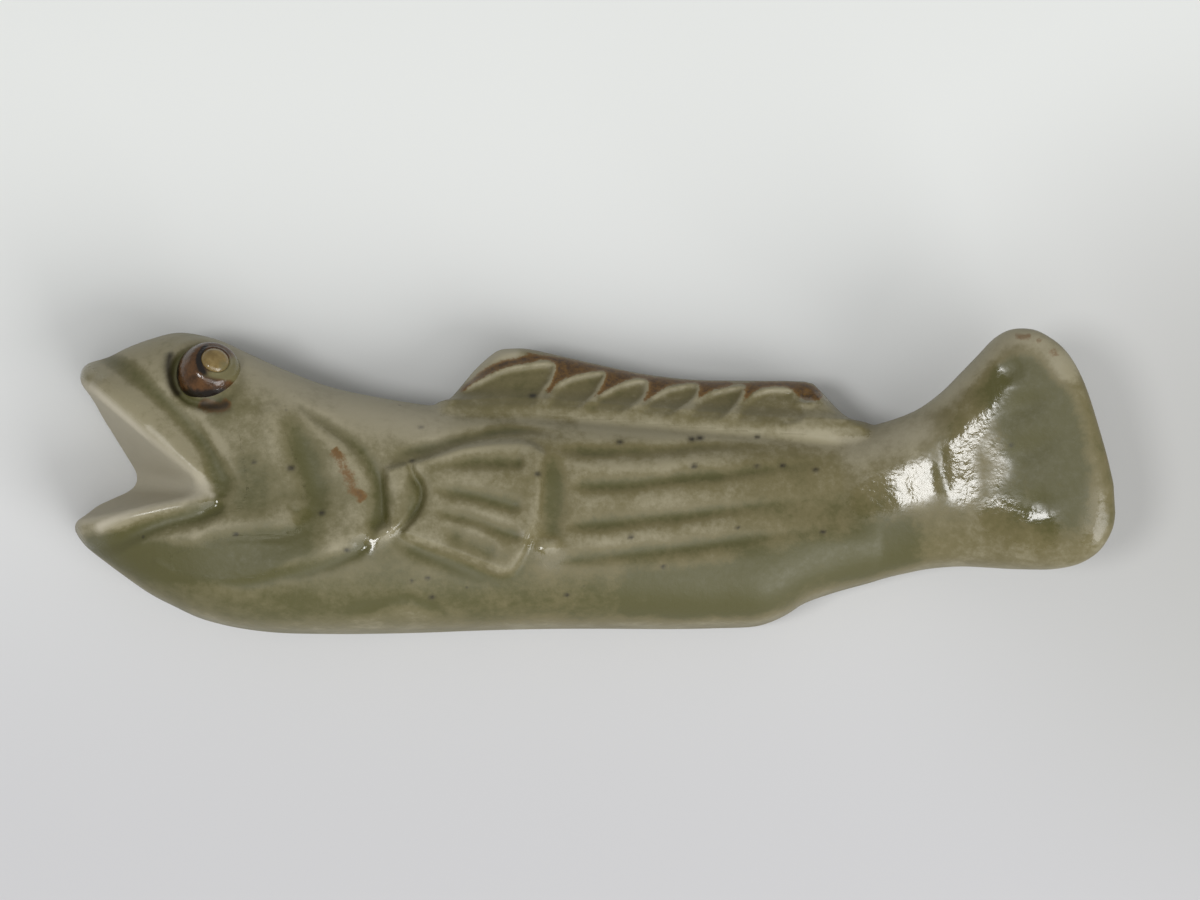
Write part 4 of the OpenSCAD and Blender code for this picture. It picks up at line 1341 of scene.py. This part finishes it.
def lay_floor():
    mesh = bpy.data.meshes.new("table_top")
    half = FLOOR_HALF
    corners = [(-half, -half, 0), (half, -half, 0), (half, half, 0), (-half, half, 0)]
    mesh.from_pydata(corners, [], [(0, 1, 2, 3)])
    floor = add_object("table_top", mesh)
    material, add, grid = new_material("white_laminate")
    depth = add("SeparateXYZ", {0: grid}, 1)
    # Painted shade towards the front, and a painted shadow round a place past the tail
    far = add("MapRange", {0: depth, 1: SHADE_FRONT, 2: SHADE_BACK}, **SOFT)
    side = add("VectorMath", {0: grid, 1: PAINTED_SHADOW_AT}, "Value", operation="DISTANCE")
    side = add("MapRange", {0: side, 1: PAINTED_SHADOW_FROM, 2: PAINTED_SHADOW_FULL}, **SOFT)
    colour = add("Mix", {0: far, 6: linear(FLOOR_FRONT_PAINTED_SHADE), 7: linear(FLOOR_BACK)}, 2, **PAINT)
    colour = add("Mix", {0: side, 6: colour, 7: linear(FLOOR_PAINTED_SHADOW)}, 2, **PAINT)
    add(SHADER, {"Base Color": colour, "Roughness": FLOOR_ROUGH})
    mesh.materials.append(material)


lay_floor()
print(f"table top {2 * FLOOR_HALF:.0f} m wide")

# %% Lamps and world
# All lamps stand as far from the fish, in metres. Their sizes are in metres too.
LAMP_AWAY = 0.9
LAMPS_AIM = Vector((0.0, 0.0, 0.005))


def lamp(name, direction, size, watts):
    light = bpy.data.lights.new(name, "AREA")
    light.shape, light.size, light.energy = "DISK", size, watts
    holder = add_object(name, light)
    way = Vector(direction).normalized()
    holder.location = LAMPS_AIM + way * LAMP_AWAY
    holder.rotation_euler = way.to_track_quat("Z", "Y").to_euler()


lamp("window", (-0.40, -0.18, 0.90), 0.21, 2.1)
lamp("desk_lamp", (0.57, -0.59, 0.52), 0.62, 5.2)
lamp("ceiling", (0.12, -0.45, 0.88), 0.60, 1.9)
world = bpy.data.worlds.new("room")
world.use_nodes = True
sky = world.node_tree.nodes["Background"].inputs
sky["Color"].default_value = (1, 1, 0.99, 1)
sky["Strength"].default_value = 0.33
bpy.context.scene.world = world
bpy.context.scene.view_settings.view_transform = "Standard"
print("lamps:", ", ".join(sorted(light.name for light in bpy.data.lights)))
